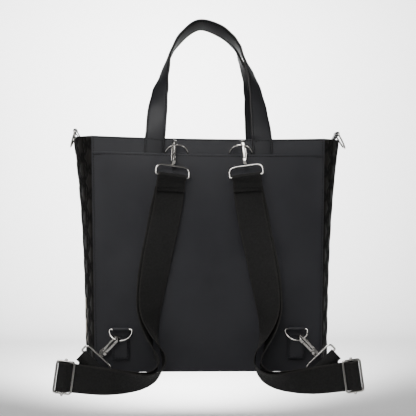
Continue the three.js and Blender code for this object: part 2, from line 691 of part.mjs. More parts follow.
function shoulderStrap(name, side, upper, lower) {
  const first = strapRoute[0];
  const down = squareTo(upper.across, onBack(first.across, first.down, first.out).sub(upper.at));
  const upperNose = down.clone().negate();
  const upperFace = upper.across.clone().cross(upperNose);
  const start = {
    at: moved(upper.at, [upperFace, -loopWrap], [down, runFromLoop]),
    turn: Math.asin(-upper.across.y) / degrees, apart: layerStep / webbingWidth + 0.01, slip: 0,
  };
  const end = {
    at: besideBar(sliderWidth / 2 + sliderClear, -underRim),
    turn: 0, apart: layerStep / webbingWidth, slip: 0,
  };
  const run = mainRun(start, end);
  const front = Math.sign(run[0].face.dot(upperFace));
  const flap = flapShares.map((share) => (
    onRun(run, share * sewnEnd - sewnOverlap, front * (layerStep + gap))));
  const overLoop = wrap(upper.at, upper.across, upperNose, upperFace, loopWrap).reverse();
  const tail = [[slotCorner, -underLayers]];
  const overSlider = overBar(slotCorner, underRim, outerWrap, tail);
  const lowerNose = squareTo(lower.across, lower.at.clone().sub(sliderAt));
  const lowerFace = lower.across.clone().cross(lowerNose);
  const away = lowerNose.clone().negate();
  const returnStart = besideBar(sliderWidth / 2 + returnClear, -underLayers);
  const returnEnd = moved(lower.at, [lowerFace, -loopWrap], [away, runToLoop]);
  const straight = { at: returnStart, across: sliderLong, face: sliderFace };
  const back = Array.from({ length: returnSteps }, (_, i) => {
    const share = (i + 1) / (returnSteps + 1);
    const between = (from, to) => from.clone().lerp(to, share);
    const across = between(sliderLong, lower.across).normalize();
    return { at: between(returnStart, returnEnd), across, face: between(sliderFace, lowerFace).normalize() };
  });
  const lowerWrap = wrap(lower.at, lower.across, lowerNose, lowerFace, loopWrap);
  const lowerLifts = [[lowerSewnStart, loopWrap], [lowerSewnEnd, layerStep + gap - loopWrap]];
  const lowerEnd = lowerLifts.map(([by, lift]) => (
    { at: moved(lower.at, [lowerFace, lift], [away, by]), across: lower.across, face: lowerFace }));
  const turned = (stations) => stations.map((s) => ({ ...s, face: s.face.clone().negate() }));
  const downTo = [...flap, ...overLoop, ...run, ...overSlider];
  const outer = [...downTo, straight, ...back, ...turned(lowerWrap), ...turned(lowerEnd)];
  add(`webbing_${name}`, ribbon(straightened(outer), webbingWidth, webbingThickness, side), 'webbing');
  const second = run.slice(1).map(({ at, across, face, apart, slip }) => (
    { at: moved(at, [face, -apart * webbingWidth], [across, slip * webbingWidth]), across, face }));
  const innerTail = [[tailBack, -innerWrap]];
  const innerBar = overBar(slotCorner - layerShift, underRim + layerStep, innerWrap, innerTail);
  const inner = straightened([...second, ...innerBar]);
  add(`inner_webbing_${name}`, ribbon(inner, webbingWidth, webbingThickness, side), 'webbing');
}

// Keeps the corners of neighbouring stations on the same side, however each station's ways were given.
function straightened(stations) {
  let last = stations[0];
  return stations.map(({ at, across, face }) => {
    const width = across.clone().multiplyScalar(Math.sign(across.dot(last.across)) || 1);
    const out = face.clone().multiplyScalar(Math.sign(face.dot(last.face)) || 1);
    last = { at, across: width, face: out };
    return last;
  });
}

// The ways that the hooks hang: up from base to cap, spine to the spine's side, loop along the swivel's bar.
const upperHook = {
  up: point(-0.06, 0.34, 0.94).normalize(),
  spine: point(0.2, 1, 0),
  loop: point(0.98, -0.2, 0.16),
};
const lowerHook = {
  up: point(-0.695, 0, 0.719).normalize(),
  spine: point(0.30, 0.90, 0.29),
  loop: point(0.719, 0, 0.695),
};

for (const [name, side] of sides) {
  slider(name, side);
  const top = snapHook(`upper_${name}`, side, ringContact(upperBar, upperArc, upperHookOut),
    upperHook.up, upperHook.spine, upperHook.loop, upperLoopHeight);
  const low = snapHook(`lower_${name}`, side, ringContact(lowerBar, lowerArc, lowerHookOut),
    lowerHook.up, lowerHook.spine, lowerHook.loop, lowerLoopHeight);
  shoulderStrap(name, side, top, low);
}
export default group;
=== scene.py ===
"""A convertible backpack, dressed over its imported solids. Lengths are in millimetres until a mesh is made."""
import math

import bmesh
import bpy
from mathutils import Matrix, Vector, noise


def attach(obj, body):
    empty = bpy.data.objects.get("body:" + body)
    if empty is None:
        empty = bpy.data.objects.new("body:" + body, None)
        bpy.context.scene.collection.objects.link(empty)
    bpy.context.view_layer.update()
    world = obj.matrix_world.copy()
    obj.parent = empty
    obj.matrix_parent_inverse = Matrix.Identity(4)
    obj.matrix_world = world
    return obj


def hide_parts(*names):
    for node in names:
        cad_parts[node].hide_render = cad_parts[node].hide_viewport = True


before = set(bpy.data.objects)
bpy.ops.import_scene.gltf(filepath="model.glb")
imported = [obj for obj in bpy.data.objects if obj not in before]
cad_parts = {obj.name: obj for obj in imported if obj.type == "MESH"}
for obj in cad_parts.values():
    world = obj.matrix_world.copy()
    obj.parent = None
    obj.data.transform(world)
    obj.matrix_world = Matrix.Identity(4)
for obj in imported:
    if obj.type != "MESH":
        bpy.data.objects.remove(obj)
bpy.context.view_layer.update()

MM = 0.001
UP = Vector((0, 0, 1))
DEPTH = Vector((0, 1, 0))

# Sizes of the solids that the pieces fit
BAG_HEIGHT, BAG_TOP_WIDTH, BAG_BASE_WIDTH = 314, 311, 301
BAG_TOP_DEPTH, BAG_BASE_DEPTH = 112, 120
GUSSET_TOP_BULGE, GUSSET_BASE_BULGE, GUSSET_FLARE = 26, 13, 3
PANEL_BELLY, MOUTH_DIP, MOUTH_SLOPE = 4, 2.5, 3.5
LEATHER, GAP, SEAT = 2, 0.3, 0.6
POCKET_DROP, POCKET_LEATHER, POCKET_GAP = 21, 1.5, 8.5
ARCH_RISE, HANDLE_SPREAD, HANDLE_WIDTH, HANDLE_THICKNESS = 146, 145, 27, 4
HANDLE_TUCK, HANDLES_APART = 45, 29
WEBBING_WIDTH, WEBBING_THICKNESS, SEWN_END = 38, 1.3, 20
RING_WIDTH, RING_HEIGHT, RING_WIRE, RING_CORNER = 32, 19.5, 2.4, 3
UPPER_RING_SPREAD, UPPER_RING_DROP, UPPER_RING_TILT = 85, 26.5, 38
LOWER_RING_SPREAD, LOWER_RING_DROP, LOWER_RING_TILT = 233, 257, 35
SIDE_RING_HEIGHT, SIDE_RING_RISE, SIDE_RING_LEAN = 25, 9, 4.5
SIDE_RING_TILTS = {"left": 16, "right": 29}
TAB_LEATHER, TAB_WIDTH, TAB_LENGTH, HIDDEN_TAB_LENGTH, SIDE_TAB_LENGTH = 1.5, 22, 40, 26, 18
HOOK_GAP, HOOK_SHANK, HOOK_BASE, HOOK_PLAY = 7.6, 20.5, 7, 2.2
RIVET_RADIUS, RIVET_HEAD = 1.2, 1.2
LOOP_WIRE, LOOP_PLAY, UPPER_LOOP_HEIGHT, LOWER_LOOP_HEIGHT = 2.6, 4, 14, 11
SLIDER_WIDTH, SLIDER_THICKNESS, SLIDER_BAR, SLIDER_RIM = 26, 3, 3, 3.2
WEBBING_RIB, WEBBING_CORD = 1.3, 1.1
BAG_TOP = -ARCH_RISE
BAG_BASE = BAG_TOP - BAG_HEIGHT
SIDES = (("left", -1), ("right", 1))

# Sizes of what only the scene has. The back panel and the front panel hang in dents of their own.
PANEL_SEEDS, POCKET_SEED = {-1: 3.1, 1: 7.7}, 1.3
DENT_DEPTH, FINE_DENT_DEPTH = 0.9, 0.3
CREASE_SHARE, CREASE_OFF, CREASE_HALF, CREASE_HEIGHT = 0.985, 2.0, 1.8, 0.9
PIPING_RADIUS, PIPING_SUNK, PIPING_EDGE = 0.95, 0.6, 0.997
STITCH_LIFT, SIDE_ROW, MOUTH_ROW_DROP, POCKET_ROW_DROP, TACK_DROP = 0.12, 0.985, 1.8, 2.7, 1.6
# Thread: pitch, length and thickness of a stitch
ROW_STITCH, TACK_STITCH = (3.7, 2.2, 1.35), (1.5, 1.9, 0.95)
HANDLE_BODY, HANDLE_DOME, HANDLE_ROW, HANDLE_TACK_OUT = 0.62, 0.75, 0.405, 2.25
TAB_ROW, TAB_ROW_DROP, TAB_ROW_RISE = 0.4, 9, 2.4
HOOK_ROUND, LEVER_ROUND = 0.8, 0.6


def mix(a, b, share):
    return a + (b - a) * share


def smoothstep(value, low, high):
    share = min(max((value - low) / (high - low), 0), 1)
    return share * share * (3 - 2 * share)


def bend(a, b, c, share):
    """A point of a round corner from a to c, with b as its sharp corner."""
    return tuple(mix(mix(p, q, share), mix(q, r, share), share) for p, q, r in zip(a, b, c))


def circle(count):
    turns = [2 * math.pi * j / count for j in range(count)]
    return [(math.cos(turn), math.sin(turn)) for turn in turns]


def squared(way, axis):
    """The part of a way that is square to an axis, as a unit."""
    return (way - axis * way.dot(axis)).normalized()


class Route:
    """A smooth way through points, the same curve that the solids follow."""

    def __init__(self, points):
        self.points = [Vector(p) for p in points]

    def at(self, share):
        points = self.points
        spot = min(max(share, 0), 1) * (len(points) - 1)
        i = min(int(spot), len(points) - 2)
        w = spot - i
        p1, p2 = points[i], points[i + 1]
        p0 = points[i - 1] if i > 0 else p1 * 2 - p2
        p3 = points[i + 2] if i + 2 < len(points) else p2 * 2 - p1
        d0, d1, d2 = [(b - a).length ** 0.5 or 1 for a, b in ((p0, p1), (p1, p2), (p2, p3))]
        t1 = ((p1 - p0) / d0 - (p2 - p0) / (d0 + d1) + (p2 - p1) / d1) * d1
        t2 = ((p2 - p1) / d1 - (p3 - p1) / (d1 + d2) + (p3 - p2) / d2) * d1
        square = p2 * 3 - p1 * 3 - t1 * 2 - t2
        return p1 + t1 * w + square * w * w + (p1 * 2 - p2 * 2 + t1 + t2) * w ** 3

    def way(self, share):
        step = 1e-4
        return (self.at(share + step) - self.at(share - step)).normalized()


# Meshes

def linked(name, data):
    made = bpy.data.objects.new(name, data)
    bpy.context.scene.collection.objects.link(made)
    return made


def smooth(mesh):
    for polygon in mesh.polygons:
        polygon.use_smooth = True


def new_piece(name, points, faces, material, uvs, edge):
    mesh = bpy.data.meshes.new(name)
    mesh.from_pydata([tuple(Vector(p) * MM) for p in points], [], faces)
    layer = mesh.uv_layers.new(name="UVMap")
    for loop in mesh.loops:
        layer.data[loop.index].uv = uvs[loop.vertex_index]
    if edge:
        shade = mesh.attributes.new("edge", "FLOAT", "POINT")
        shade.data.foreach_set("value", edge)
    work = bmesh.new()
    work.from_mesh(mesh)
    bmesh.ops.recalc_face_normals(work, faces=work.faces)
    work.to_mesh(mesh)
    work.free()
    smooth(mesh)
    mesh.materials.append(material)
    return linked(name, mesh)


def skin(name, rings, material, widths, lengths, closed=False, edge=None):
    """A closed body over rings of points, with its width and length in metres as UV."""
    count = len(rings[0])
    faces = []
    for i in range(len(rings) if closed else len(rings) - 1):
        here, there = i * count, ((i + 1) % len(rings)) * count
        for j in range(count):
            k = (j + 1) % count
            faces.append((here + j, here + k, there + k, there + j))
    if not closed:
        last = (len(rings) - 1) * count
        for j in range(count // 2 - 1):
            far = count - 1 - j
            faces.append((j + 1, far - 1, far, j))
            faces.append((last + j, last + far, last + far - 1, last + j + 1))
    points = [p for ring in rings for p in ring]
    uvs = [(w * MM, length * MM) for length in lengths for w in widths]
    shade = [e for _ in rings for e in edge] if edge else None
    return new_piece(name, points, faces, material, uvs, shade)


def finished(piece, body, slot, *nodes, round_edges=None):
    """Gives a piece its place in the frame, and rounds its hard edges where asked."""
    if round_edges:
        bevel = piece.modifiers.new("round edges", "BEVEL")
        bevel.width = round_edges * MM
        bevel.segments = 3
        bevel.limit_method = "ANGLE"
        bevel.angle_limit = math.radians(40)
        bevel.harden_normals = True
        plain_mesh(piece)
    if nodes:
        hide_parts(*nodes)
    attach(piece, body)
    return piece


def plain_mesh(piece):
    """Turns what a piece's modifiers make into its own mesh."""
    seen = bpy.context.evaluated_depsgraph_get()
    mesh = bpy.data.meshes.new_from_object(piece.evaluated_get(seen))
    piece.modifiers.clear()
    piece.data = mesh


def measured(stations):
    """How far along a strap each station lies."""
    lengths = [0]
    for a, b in zip(stations, stations[1:]):
        lengths.append(lengths[-1] + (b[0] - a[0]).length)
    return lengths


def dense(stations, step):
    """More stations along the same strap, with no corners between them."""
    lengths = measured(stations)
    keep = [s for s, (a, b) in zip(stations, zip([-1] + lengths, lengths)) if b - a > 0.05]
    lengths = measured(keep)
    route = Route([s[0] for s in keep])
    made = []
    for i in range(len(keep) - 1):
        parts = max(1, round((lengths[i + 1] - lengths[i]) / step))
        for j in range(parts + (i == len(keep) - 2)):
            share = j / parts
            spot = (i + share) / (len(keep) - 1)
            soft = smoothstep(share, 0, 1) * 0.5 + share * 0.5
            along = route.way(spot)
            across = squared(keep[i][1].lerp(keep[i + 1][1], soft), along)
            face = along.cross(across)
            if face.dot(keep[i][2]) < 0:
                face = -face
            made.append((route.at(spot), across, face))
    return made


def mirrored(v, side):
    return Vector((side * v.x, v.y, v.z))


def strap(name, stations, profile, material, side=1, edge=None):
    """A strap of one profile of (across, out) points, along stations of place, width's way and face's way."""
    rings = [[mirrored(at + across * w + face * out, side) for w, out in profile]
             for at, across, face in stations]
    return skin(name, rings, material, [w for w, _ in profile], measured(stations), edge=edge)


def flat_profile(width, thickness, columns, dome=0, groove=0, groove_at=0.82):
    """A strap's cut: flat or domed, with soft edges and a shallow groove under each stitch row."""
    half, thin = width / 2, thickness / 2
    front = []
    for i in range(columns + 1):
        share = 2 * i / columns - 1
        past = max(0, (abs(share) * half - half + thin) / thin)
        lie = thin * math.sqrt(max(0, 1 - past ** 2))
        rise = dome * (1 - share * share)
        dent = groove * math.exp(-((abs(share) - groove_at) * half / 0.9) ** 2)
        front.append((share * half, max(lie, thin * 0.35) + rise - dent))
    back = [(w, -out) for w, out in reversed(front)]
    return front + back


# Bag body: shares run from the base (0) to the mouth (1), and from one side (-1) to the other (1)

def half_width(up):
    return mix(BAG_BASE_WIDTH, BAG_TOP_WIDTH, up) / 2


def half_depth(up):
    return mix(BAG_BASE_DEPTH, BAG_TOP_DEPTH, up) / 2


def gusset_bulge(up):
    return mix(GUSSET_BASE_BULGE, GUSSET_TOP_BULGE, up ** GUSSET_FLARE)


def height_at(across):
    return BAG_HEIGHT - MOUTH_DIP * (1 - across * across) - MOUTH_SLOPE * (across + 1) / 2


def belly(across, up):
    return PANEL_BELLY * (1 - across * across) * math.sin(math.pi * up)


def slack(across, up, seed):
    """Shallow dents where the leather hangs free: none at its edges, where it is sewn."""
    held = (1 - across ** 8) * smoothstep(up, 0, 0.12)
    spot = Vector((across * 2.1 + seed, up * 2.6, seed))
    fine = Vector((across * 5.5 - seed, up * 6.0, 2 * seed))
    return held * (DENT_DEPTH * noise.noise(spot) + FINE_DENT_DEPTH * noise.noise(fine))


def panel_slack(side, across, up):
    return slack(across, up, PANEL_SEEDS[side]) * 0.5


def panel_spot(side, across, up, out):
    y = side * (half_depth(up) + belly(across, up) + out)
    return Vector((across * half_width(up), y, BAG_BASE + up * height_at(across)))


POCKET_TOP = 1 - POCKET_DROP / BAG_HEIGHT


def pocket_stand_off(across, up):
    return GAP + POCKET_GAP * (1 - across ** 6) * smoothstep(up, 0.45, POCKET_TOP)


def pocket_crease(across, up):
    """The short slanting crease below each end of the pocket's edge."""
    x = (abs(across) - CREASE_SHARE) * half_width(up)
    z = (up - POCKET_TOP) * BAG_HEIGHT
    off = (x * 0.83 - z * 0.56 - CREASE_OFF) / CREASE_HALF
    held = smoothstep(z, -14, -2) * smoothstep(abs(across), 0.86, 0.97)
    return CREASE_HEIGHT * math.exp(-off * off) * held


def pocket_spot(across, up, out):
    stand = pocket_stand_off(across, up)
    give = max(slack(across, up, POCKET_SEED), GAP - stand)
    return panel_spot(-1, across, up, stand + give + out + pocket_crease(across, up))


def wall(name, columns, levels, outer, inner, material, width, height):
    """A wall between two surfaces, each a function of two shares from 0 to 1."""
    rings = []
    for level in range(levels + 1):
        v = level / levels
        front = [outer(column / columns, v) for column in range(columns + 1)]
        back = [inner(column / columns, v) for column in reversed(range(columns + 1))]
        rings.append(front + back)
    widths = [width * c / columns for c in range(columns + 1)]
    lengths = [height * level / levels for level in range(levels + 1)]
    return skin(name, rings, material, widths + widths[::-1], lengths)


def bag_panels():
    for name, side in (("back", -1), ("front", 1)):
        def panel(out, side=side):
            return lambda u, v: panel_spot(side, 2 * u - 1, v, panel_slack(side, 2 * u - 1, v) + out)
        piece = wall(f"{name}_panel_leather", 96, 96, panel(0), panel(-LEATHER), look["leather"],
                     BAG_TOP_WIDTH, BAG_HEIGHT)
        finished(piece, "bag", "leather", f"{name}_panel", round_edges=0.55)

    def pocket(out):
        return lambda u, v: pocket_spot(2 * u - 1, v * POCKET_TOP, out)
    piece = wall("slip_pocket_leather", 110, 110, pocket(POCKET_LEATHER), pocket(0), look["leather"],
                 BAG_TOP_WIDTH, BAG_HEIGHT * POCKET_TOP)
    finished(piece, "bag", "leather", "back_pocket", round_edges=0.45)


# Raised scales of the gussets: large upright ovals one above another, and small cells between them
SCALE_PITCH, SCALE_COLUMN, SCALE_START, SCALE_HEIGHT = 32.5, 21.0, 9, 1.3
CELL_RING_WIDTH, CELL_RING_HEIGHT, CELL_SIZE, CELL_JITTER = 10.4, 16.2, 0.42, 0.9
# A scale's width as a share of its height, its radius, its groove's width, and how far off it counts
SCALE_ASPECT, SCALE_RADIUS, GROOVE_WIDTH, NEAR_GIRTH, NEAR_HEIGHT = 0.72, 17, 7.0, 24, 30
LARGE = 0.9
GUSSET_GIRTH = 138
# Where the left gusset's cream scales are: from and to, over its girth and its height
CREAM_GIRTH, CREAM_HEIGHT = (-38, 12), (36, 96)


def scale_seeds():
    """Middles of the pattern's cells over the gusset's girth and height, each with its size."""
    seeds = []
    for row in range(-1, 11):
        for column in range(-3, 4):
            x, z = column * SCALE_COLUMN, (row + 0.5 * (column % 2)) * SCALE_PITCH + SCALE_START
            seeds.append((x, z, 1.0))
            for k in range(5):
                turn = 2 * math.pi * (k + 0.5) / 5
                jitter = noise.random_vector()
                seeds.append((x + CELL_RING_WIDTH * math.cos(turn) + jitter.x * CELL_JITTER,
                              z + CELL_RING_HEIGHT * math.sin(turn) + jitter.y * CELL_JITTER, CELL_SIZE))
    return seeds


noise.seed_set(11)
SEEDS = scale_seeds()


def scale_relief(girth, z):
    """Height of the pattern, from 0 in a groove to 1 on a scale, and the size of the scale it belongs to."""
    near = [(1e9, 1.0), (1e9, 1.0)]
    for sx, sz, size in SEEDS:
        dx, dz = girth - sx, z - sz
        if abs(dz) > NEAR_HEIGHT or abs(dx) > NEAR_GIRTH:
            continue
        reach = math.hypot(dx / SCALE_ASPECT, dz) / size
        if reach < near[0][0]:
            near = [(reach, size), near[0]]
        elif reach < near[1][0]:
            near[1] = (reach, size)
    groove = smoothstep(near[1][0] - near[0][0], 0.6, GROOVE_WIDTH)
    dome = mix(0.45, 1, max(0, 1 - (near[0][0] / SCALE_RADIUS) ** 2))
    return groove * dome * mix(0.6, 1, near[0][1] > LARGE), near[0][1]


def gusset_spot(side, across, up, out):
    depth = half_depth(up) - LEATHER - GAP
    slope = -2 * gusset_bulge(up) * across / depth
    normal = Vector((1, -slope, 0)).normalized()
    x = half_width(up) + gusset_bulge(up) * (1 - across * across) + normal.x * out
    return Vector((side * x, across * depth + normal.y * out, BAG_BASE + up * height_at(side)))


def gussets():
    columns, levels = 76, 190
    for name, side in SIDES:
        scales = {}
        for level in range(levels + 1):
            for column in range(columns + 1):
                girth, z = (column / columns - 0.5) * GUSSET_GIRTH, level / levels * BAG_HEIGHT
                height, size = scale_relief(girth, z)
                cream = (side < 0 and CREAM_GIRTH[0] < girth < CREAM_GIRTH[1]
                         and CREAM_HEIGHT[0] < z < CREAM_HEIGHT[1] and size > LARGE)
                scales[column, level] = height, smoothstep(height, 0.3, 0.5) if cream else 0

        def outer(u, v, side=side, scales=scales):
            height = scales[round(u * columns), round(v * levels)][0]
            hem = smoothstep(min(v, 1 - v) * BAG_HEIGHT, 0, 3) * smoothstep(1 - abs(2 * u - 1), 0, 0.05)
            return gusset_spot(side, 2 * u - 1, v, SCALE_HEIGHT * height * hem)

        def inner(u, v, side=side):
            return gusset_spot(side, 2 * u - 1, v, -LEATHER)
        piece = wall(f"gusset_{name}_leather", columns, levels, outer, inner, look["embossed"],
                     GUSSET_GIRTH, BAG_HEIGHT)
        # The relief height goes to the finish as raised, where it paints shade into the grooves and a highlight
        # onto the scales; light_scale marks the cream scales
        for n, label in enumerate(("raised", "light_scale")):
            values = [scales.get((column, level), (0, 0))[n]
                      for level in range(levels + 1) for column in range(2 * columns + 2)]
            piece.data.attributes.new(label, "FLOAT", "POINT").data.foreach_set("value", values)
        finished(piece, "bag", "embossed_leather", f"gusset_{name}", round_edges=0.5)


def base():
    def level(z):
        def spot(u, v):
            across = 2 * v - 1
            reach = half_width(0) + gusset_bulge(0) * (1 - across * across) - 2 * LEATHER
            return Vector(((2 * u - 1) * reach, across * (half_depth(0) - LEATHER - 2 * GAP), BAG_BASE + z))
        return spot
    piece = wall("base_leather", 60, 24, level(0), level(LEATHER), look["leather"],
                 BAG_BASE_WIDTH, BAG_BASE_DEPTH)
    finished(piece, "bag", "leather", "base", round_edges=0.6)


def cord_along(name, points, radius, material, body, slot, closed=False, sides=14, *nodes):
    """Round cord or wire through points."""
    count = len(points)
    rings, lengths = [], [0]
    for i, here in enumerate(points):
        before = points[(i - 1) % count] if closed or i > 0 else here
        after = points[(i + 1) % count] if closed or i < count - 1 else here
        along = (after - before).normalized()
        if i == 0:
            way = squared(DEPTH if abs(along.y) < 0.9 else UP, along)
        way = squared(way, along)
        other = along.cross(way)
        rings.append([here + (way * c + other * s) * radius for c, s in circle(sides)])
        lengths.append(lengths[-1] + (after - here).length)
    piece = skin(name, rings, material, [radius * 2 * math.pi * j / sides for j in range(sides)],
                 lengths[:count], closed=closed)
    return finished(piece, body, slot, *nodes)


def seams():
    """Piping where the panels meet the gussets and the base."""
    for label, side in (("back", -1), ("front", 1)):
        shares = [(-PIPING_EDGE, up / 40) for up in range(40, 0, -1)]
        shares += [(a / 30, 0.002) for a in range(-30, 31)]
        shares += [(PIPING_EDGE, up / 40) for up in range(1, 41)]
        rim = [panel_spot(side, across, up, -PIPING_SUNK) for across, up in shares]
        for spot in rim:
            spot.z = max(spot.z, BAG_BASE + 0.9)
        cord_along(f"seam_piping_{label}", rim, PIPING_RADIUS, look["leather"], "bag", "leather", False, 10)


# Handles: (share of half the spread, share of the rise, twist in degrees) from the left foot to the right one
HANDLE_ARCH = (
    (-0.970, 0.02, 0), (-0.945, 0.177, 8), (-0.889, 0.381, 38), (-0.806, 0.545, 68), (-0.683, 0.745, 90),
    (-0.474, 0.894, 105), (-0.152, 0.999, 113), (0.222, 0.953, 114), (0.449, 0.874, 106), (0.592, 0.790, 97),
    (0.676, 0.699, 86), (0.799, 0.556, 70), (0.883, 0.400, 50), (0.935, 0.221, 30), (0.977, 0.02, 8),
)


def handle_stations(side):
    rise = ARCH_RISE + HANDLE_THICKNESS / 2 + HANDLE_WIDTH / 5
    foot_out = SEAT + HANDLE_THICKNESS / 2

    def foot(across, drop):
        return panel_spot(side, across * HANDLE_SPREAD / BAG_TOP_WIDTH, 1 - drop / BAG_HEIGHT, foot_out), 0
    stops = [foot(-1, HANDLE_TUCK), foot(-1, HANDLE_TUCK / 2), foot(-0.99, 4)]
    for across, up, turn in HANDLE_ARCH:
        y = side * mix(half_depth(1) + foot_out, HANDLES_APART / 2, up)
        stops.append((Vector((across * HANDLE_SPREAD / 2, y, BAG_TOP + up * rise)), turn))
    stops += [foot(0.99, 4), foot(1, HANDLE_TUCK / 2), foot(1, HANDLE_TUCK)]
    route = Route([at for at, _ in stops])
    stations = []
    steps = 14 * (len(stops) - 1)
    for i in range(steps + 1):
        spot = i / steps * (len(stops) - 1)
        k = min(int(spot), len(stops) - 2)
        turn = math.radians(mix(stops[k][1], stops[k + 1][1], smoothstep(spot - k, 0, 1)))
        along = route.way(i / steps)
        depth = squared(DEPTH * -side, along)
        outward = depth.cross(along) * side
        across = outward * math.cos(turn) + depth * math.sin(turn)
        stations.append((route.at(i / steps), across, along.cross(across)))
    return stations


def handles():
    body = HANDLE_THICKNESS * HANDLE_BODY
    profile = flat_profile(HANDLE_WIDTH, body, 26, dome=HANDLE_DOME, groove=0.35, groove_at=2 * HANDLE_ROW)
    edge = [smoothstep(abs(w) / HANDLE_WIDTH * 2, 0.93, 0.975) for w, _ in profile]
    for name, side in (("rear", -1), ("front", 1)):
        stations = handle_stations(side)
        piece = strap(f"handle_{name}_leather", stations, profile, look["handle"], edge=edge)
        finished(piece, "bag", "leather", f"handle_{name}")
        for row in (-HANDLE_ROW, HANDLE_ROW):
            for lift in (-body / 2 - STITCH_LIFT, body / 2 + STITCH_LIFT):
                rows["bag"].append([at + across * row * HANDLE_WIDTH + face * lift
                                    for at, across, face in stations[::2]])
        for at, across, face in (stations[30], stations[-31]):
            out = face if face.y * side > 0 else -face
            rows["bag"].append([at + across * share * HANDLE_WIDTH / 10 + out * HANDLE_TACK_OUT
                                for share in range(-3, 4)])


# Rings and the tabs that hold them. Pieces of a pair are worked out with x outwards.

def ring_points(height, bar, side, x_way, y_way):
    half = (RING_WIDTH - RING_WIRE) / 2
    corner = RING_CORNER
    flat = [(mix(corner - half, half - corner, i / 8), 0) for i in range(8)]
    flat += [bend((half - corner, 0), (half, 0), (half, corner), i / 6) for i in range(6)]
    for i in range(44):
        turn = math.pi * i / 44
        flat.append((half * math.cos(turn), corner + (height - RING_WIRE - corner) * math.sin(turn)))
    flat += [bend((-half, corner), (-half, 0), (corner - half, 0), i / 6) for i in range(6)]
    across = x_way.normalized()
    up = squared(y_way, across)
    return [mirrored(bar + across * x + up * y, side) for x, y in flat]


def ring_contact(bar, arc_way, outward):
    half = (RING_WIDTH - RING_WIRE) / 2
    arc = (RING_HEIGHT - RING_WIRE - RING_CORNER) * math.sqrt(1 - (outward / half) ** 2)
    return bar + Vector((outward, 0, 0)) + arc_way * (RING_CORNER + arc)


TAB_RADIUS = RING_WIRE / 2 + GAP + TAB_LEATHER / 2


def panel_face(x, z):
    up = min(max((z - BAG_BASE) / BAG_HEIGHT, 0), 1)
    across = min(max(x / half_width(up), -1), 1)
    return half_depth(up) + belly(across, up)


def pocket_face(x, z):
    up = (z - BAG_BASE) / BAG_HEIGHT
    return panel_face(x, z) + pocket_stand_off(x / half_width(up), up) + POCKET_LEATHER


def farthest(face, at, length):
    drops = (-0.1, 0, 0.2, 0.4, 0.6, 0.8, 1)
    return max(face(at.x - TAB_WIDTH / 2, at.z - drop * length) for drop in drops)


BAR_OUT = SEAT + TAB_RADIUS + TAB_LEATHER / 2
UPPER_BAR = Vector((UPPER_RING_SPREAD / 2, 0, BAG_TOP - UPPER_RING_DROP))
UPPER_BAR.y = -farthest(panel_face, UPPER_BAR, HIDDEN_TAB_LENGTH) - BAR_OUT
LOWER_BAR = Vector((LOWER_RING_SPREAD / 2, 0, BAG_TOP - LOWER_RING_DROP))
LOWER_BAR.y = -farthest(pocket_face, LOWER_BAR, TAB_LENGTH) - BAR_OUT
SIDEWAYS = Vector((1, 0, 0))
OUT = Vector((0, -1, 0))


def tilted(tilt, rise):
    """The way that a back ring's arc points: up or down, tilted away from the bag."""
    return OUT * math.sin(math.radians(tilt)) + UP * rise * math.cos(math.radians(tilt))


UPPER_ARC, LOWER_ARC = tilted(UPPER_RING_TILT, 1), tilted(LOWER_RING_TILT, -1)


def folded_tab(bar, length):
    outer = TAB_LEATHER + GAP
    stops = [(outer, -length), (outer, -2.5 * TAB_RADIUS)]
    stops += [(TAB_RADIUS * (1 + math.cos(math.pi * i / 6)), TAB_RADIUS * math.sin(math.pi * i / 6))
              for i in range(7)]
    stops += [(0, -2.5 * TAB_RADIUS), (0, -length)]
    spots = [bar + OUT * (out - TAB_RADIUS) + UP * z for out, z in stops]
    return dense(faced(spots, SIDEWAYS), 1.0)


def faced(spots, across):
    """Stations along spots, with one way for their width."""
    stations = []
    for i, at in enumerate(spots):
        along = (spots[min(i + 1, len(spots) - 1)] - spots[max(i - 1, 0)]).normalized()
        stations.append((at, across, along.cross(across)))
    return stations


def tabs_and_rings():
    profile = flat_profile(TAB_WIDTH, TAB_LEATHER, 20, groove=0.15, groove_at=0.8)
    edge = [smoothstep(abs(w) / TAB_WIDTH * 2, 0.95, 0.985) for w, _ in profile]
    for name, side in SIDES:
        for level, bar, arc, length in (("upper", UPPER_BAR, UPPER_ARC, HIDDEN_TAB_LENGTH),
                                        ("lower", LOWER_BAR, LOWER_ARC, TAB_LENGTH)):
            points = ring_points(RING_HEIGHT, bar, side, SIDEWAYS, arc)
            cord_along(f"{level}_ring_wire_{name}", points, RING_WIRE / 2, look["nickel"], "bag", "nickel",
                       True, 16, f"{level}_ring_{name}")
            piece = strap(f"{level}_tab_leather_{name}", folded_tab(bar, length), profile, look["leather"],
                          side, edge)
            finished(piece, "bag", "leather", f"{level}_tab_{name}")
        face_y = LOWER_BAR.y + (TAB_RADIUS - TAB_LEATHER - GAP) - TAB_LEATHER / 2 - 0.1
        left, right = LOWER_BAR.x - TAB_WIDTH * TAB_ROW, LOWER_BAR.x + TAB_WIDTH * TAB_ROW
        top, low = LOWER_BAR.z - TAB_ROW_DROP, LOWER_BAR.z - TAB_LENGTH + TAB_ROW_RISE
        corners = [(left, top), (left, low), (right, low), (right, top), (left, top)]
        rows["bag"].append([Vector((side * x, face_y, z)) for x, z in filled(corners, 1.2)])
        side_ring(name, side, profile, edge)


def filled(corners, step):
    """Points along straight runs between corners."""
    made = []
    for (ax, az), (bx, bz) in zip(corners, corners[1:]):
        parts = max(2, round(math.hypot(bx - ax, bz - az) / step))
        made += [(mix(ax, bx, i / parts), mix(az, bz, i / parts)) for i in range(parts)]
    return made + [corners[-1]]


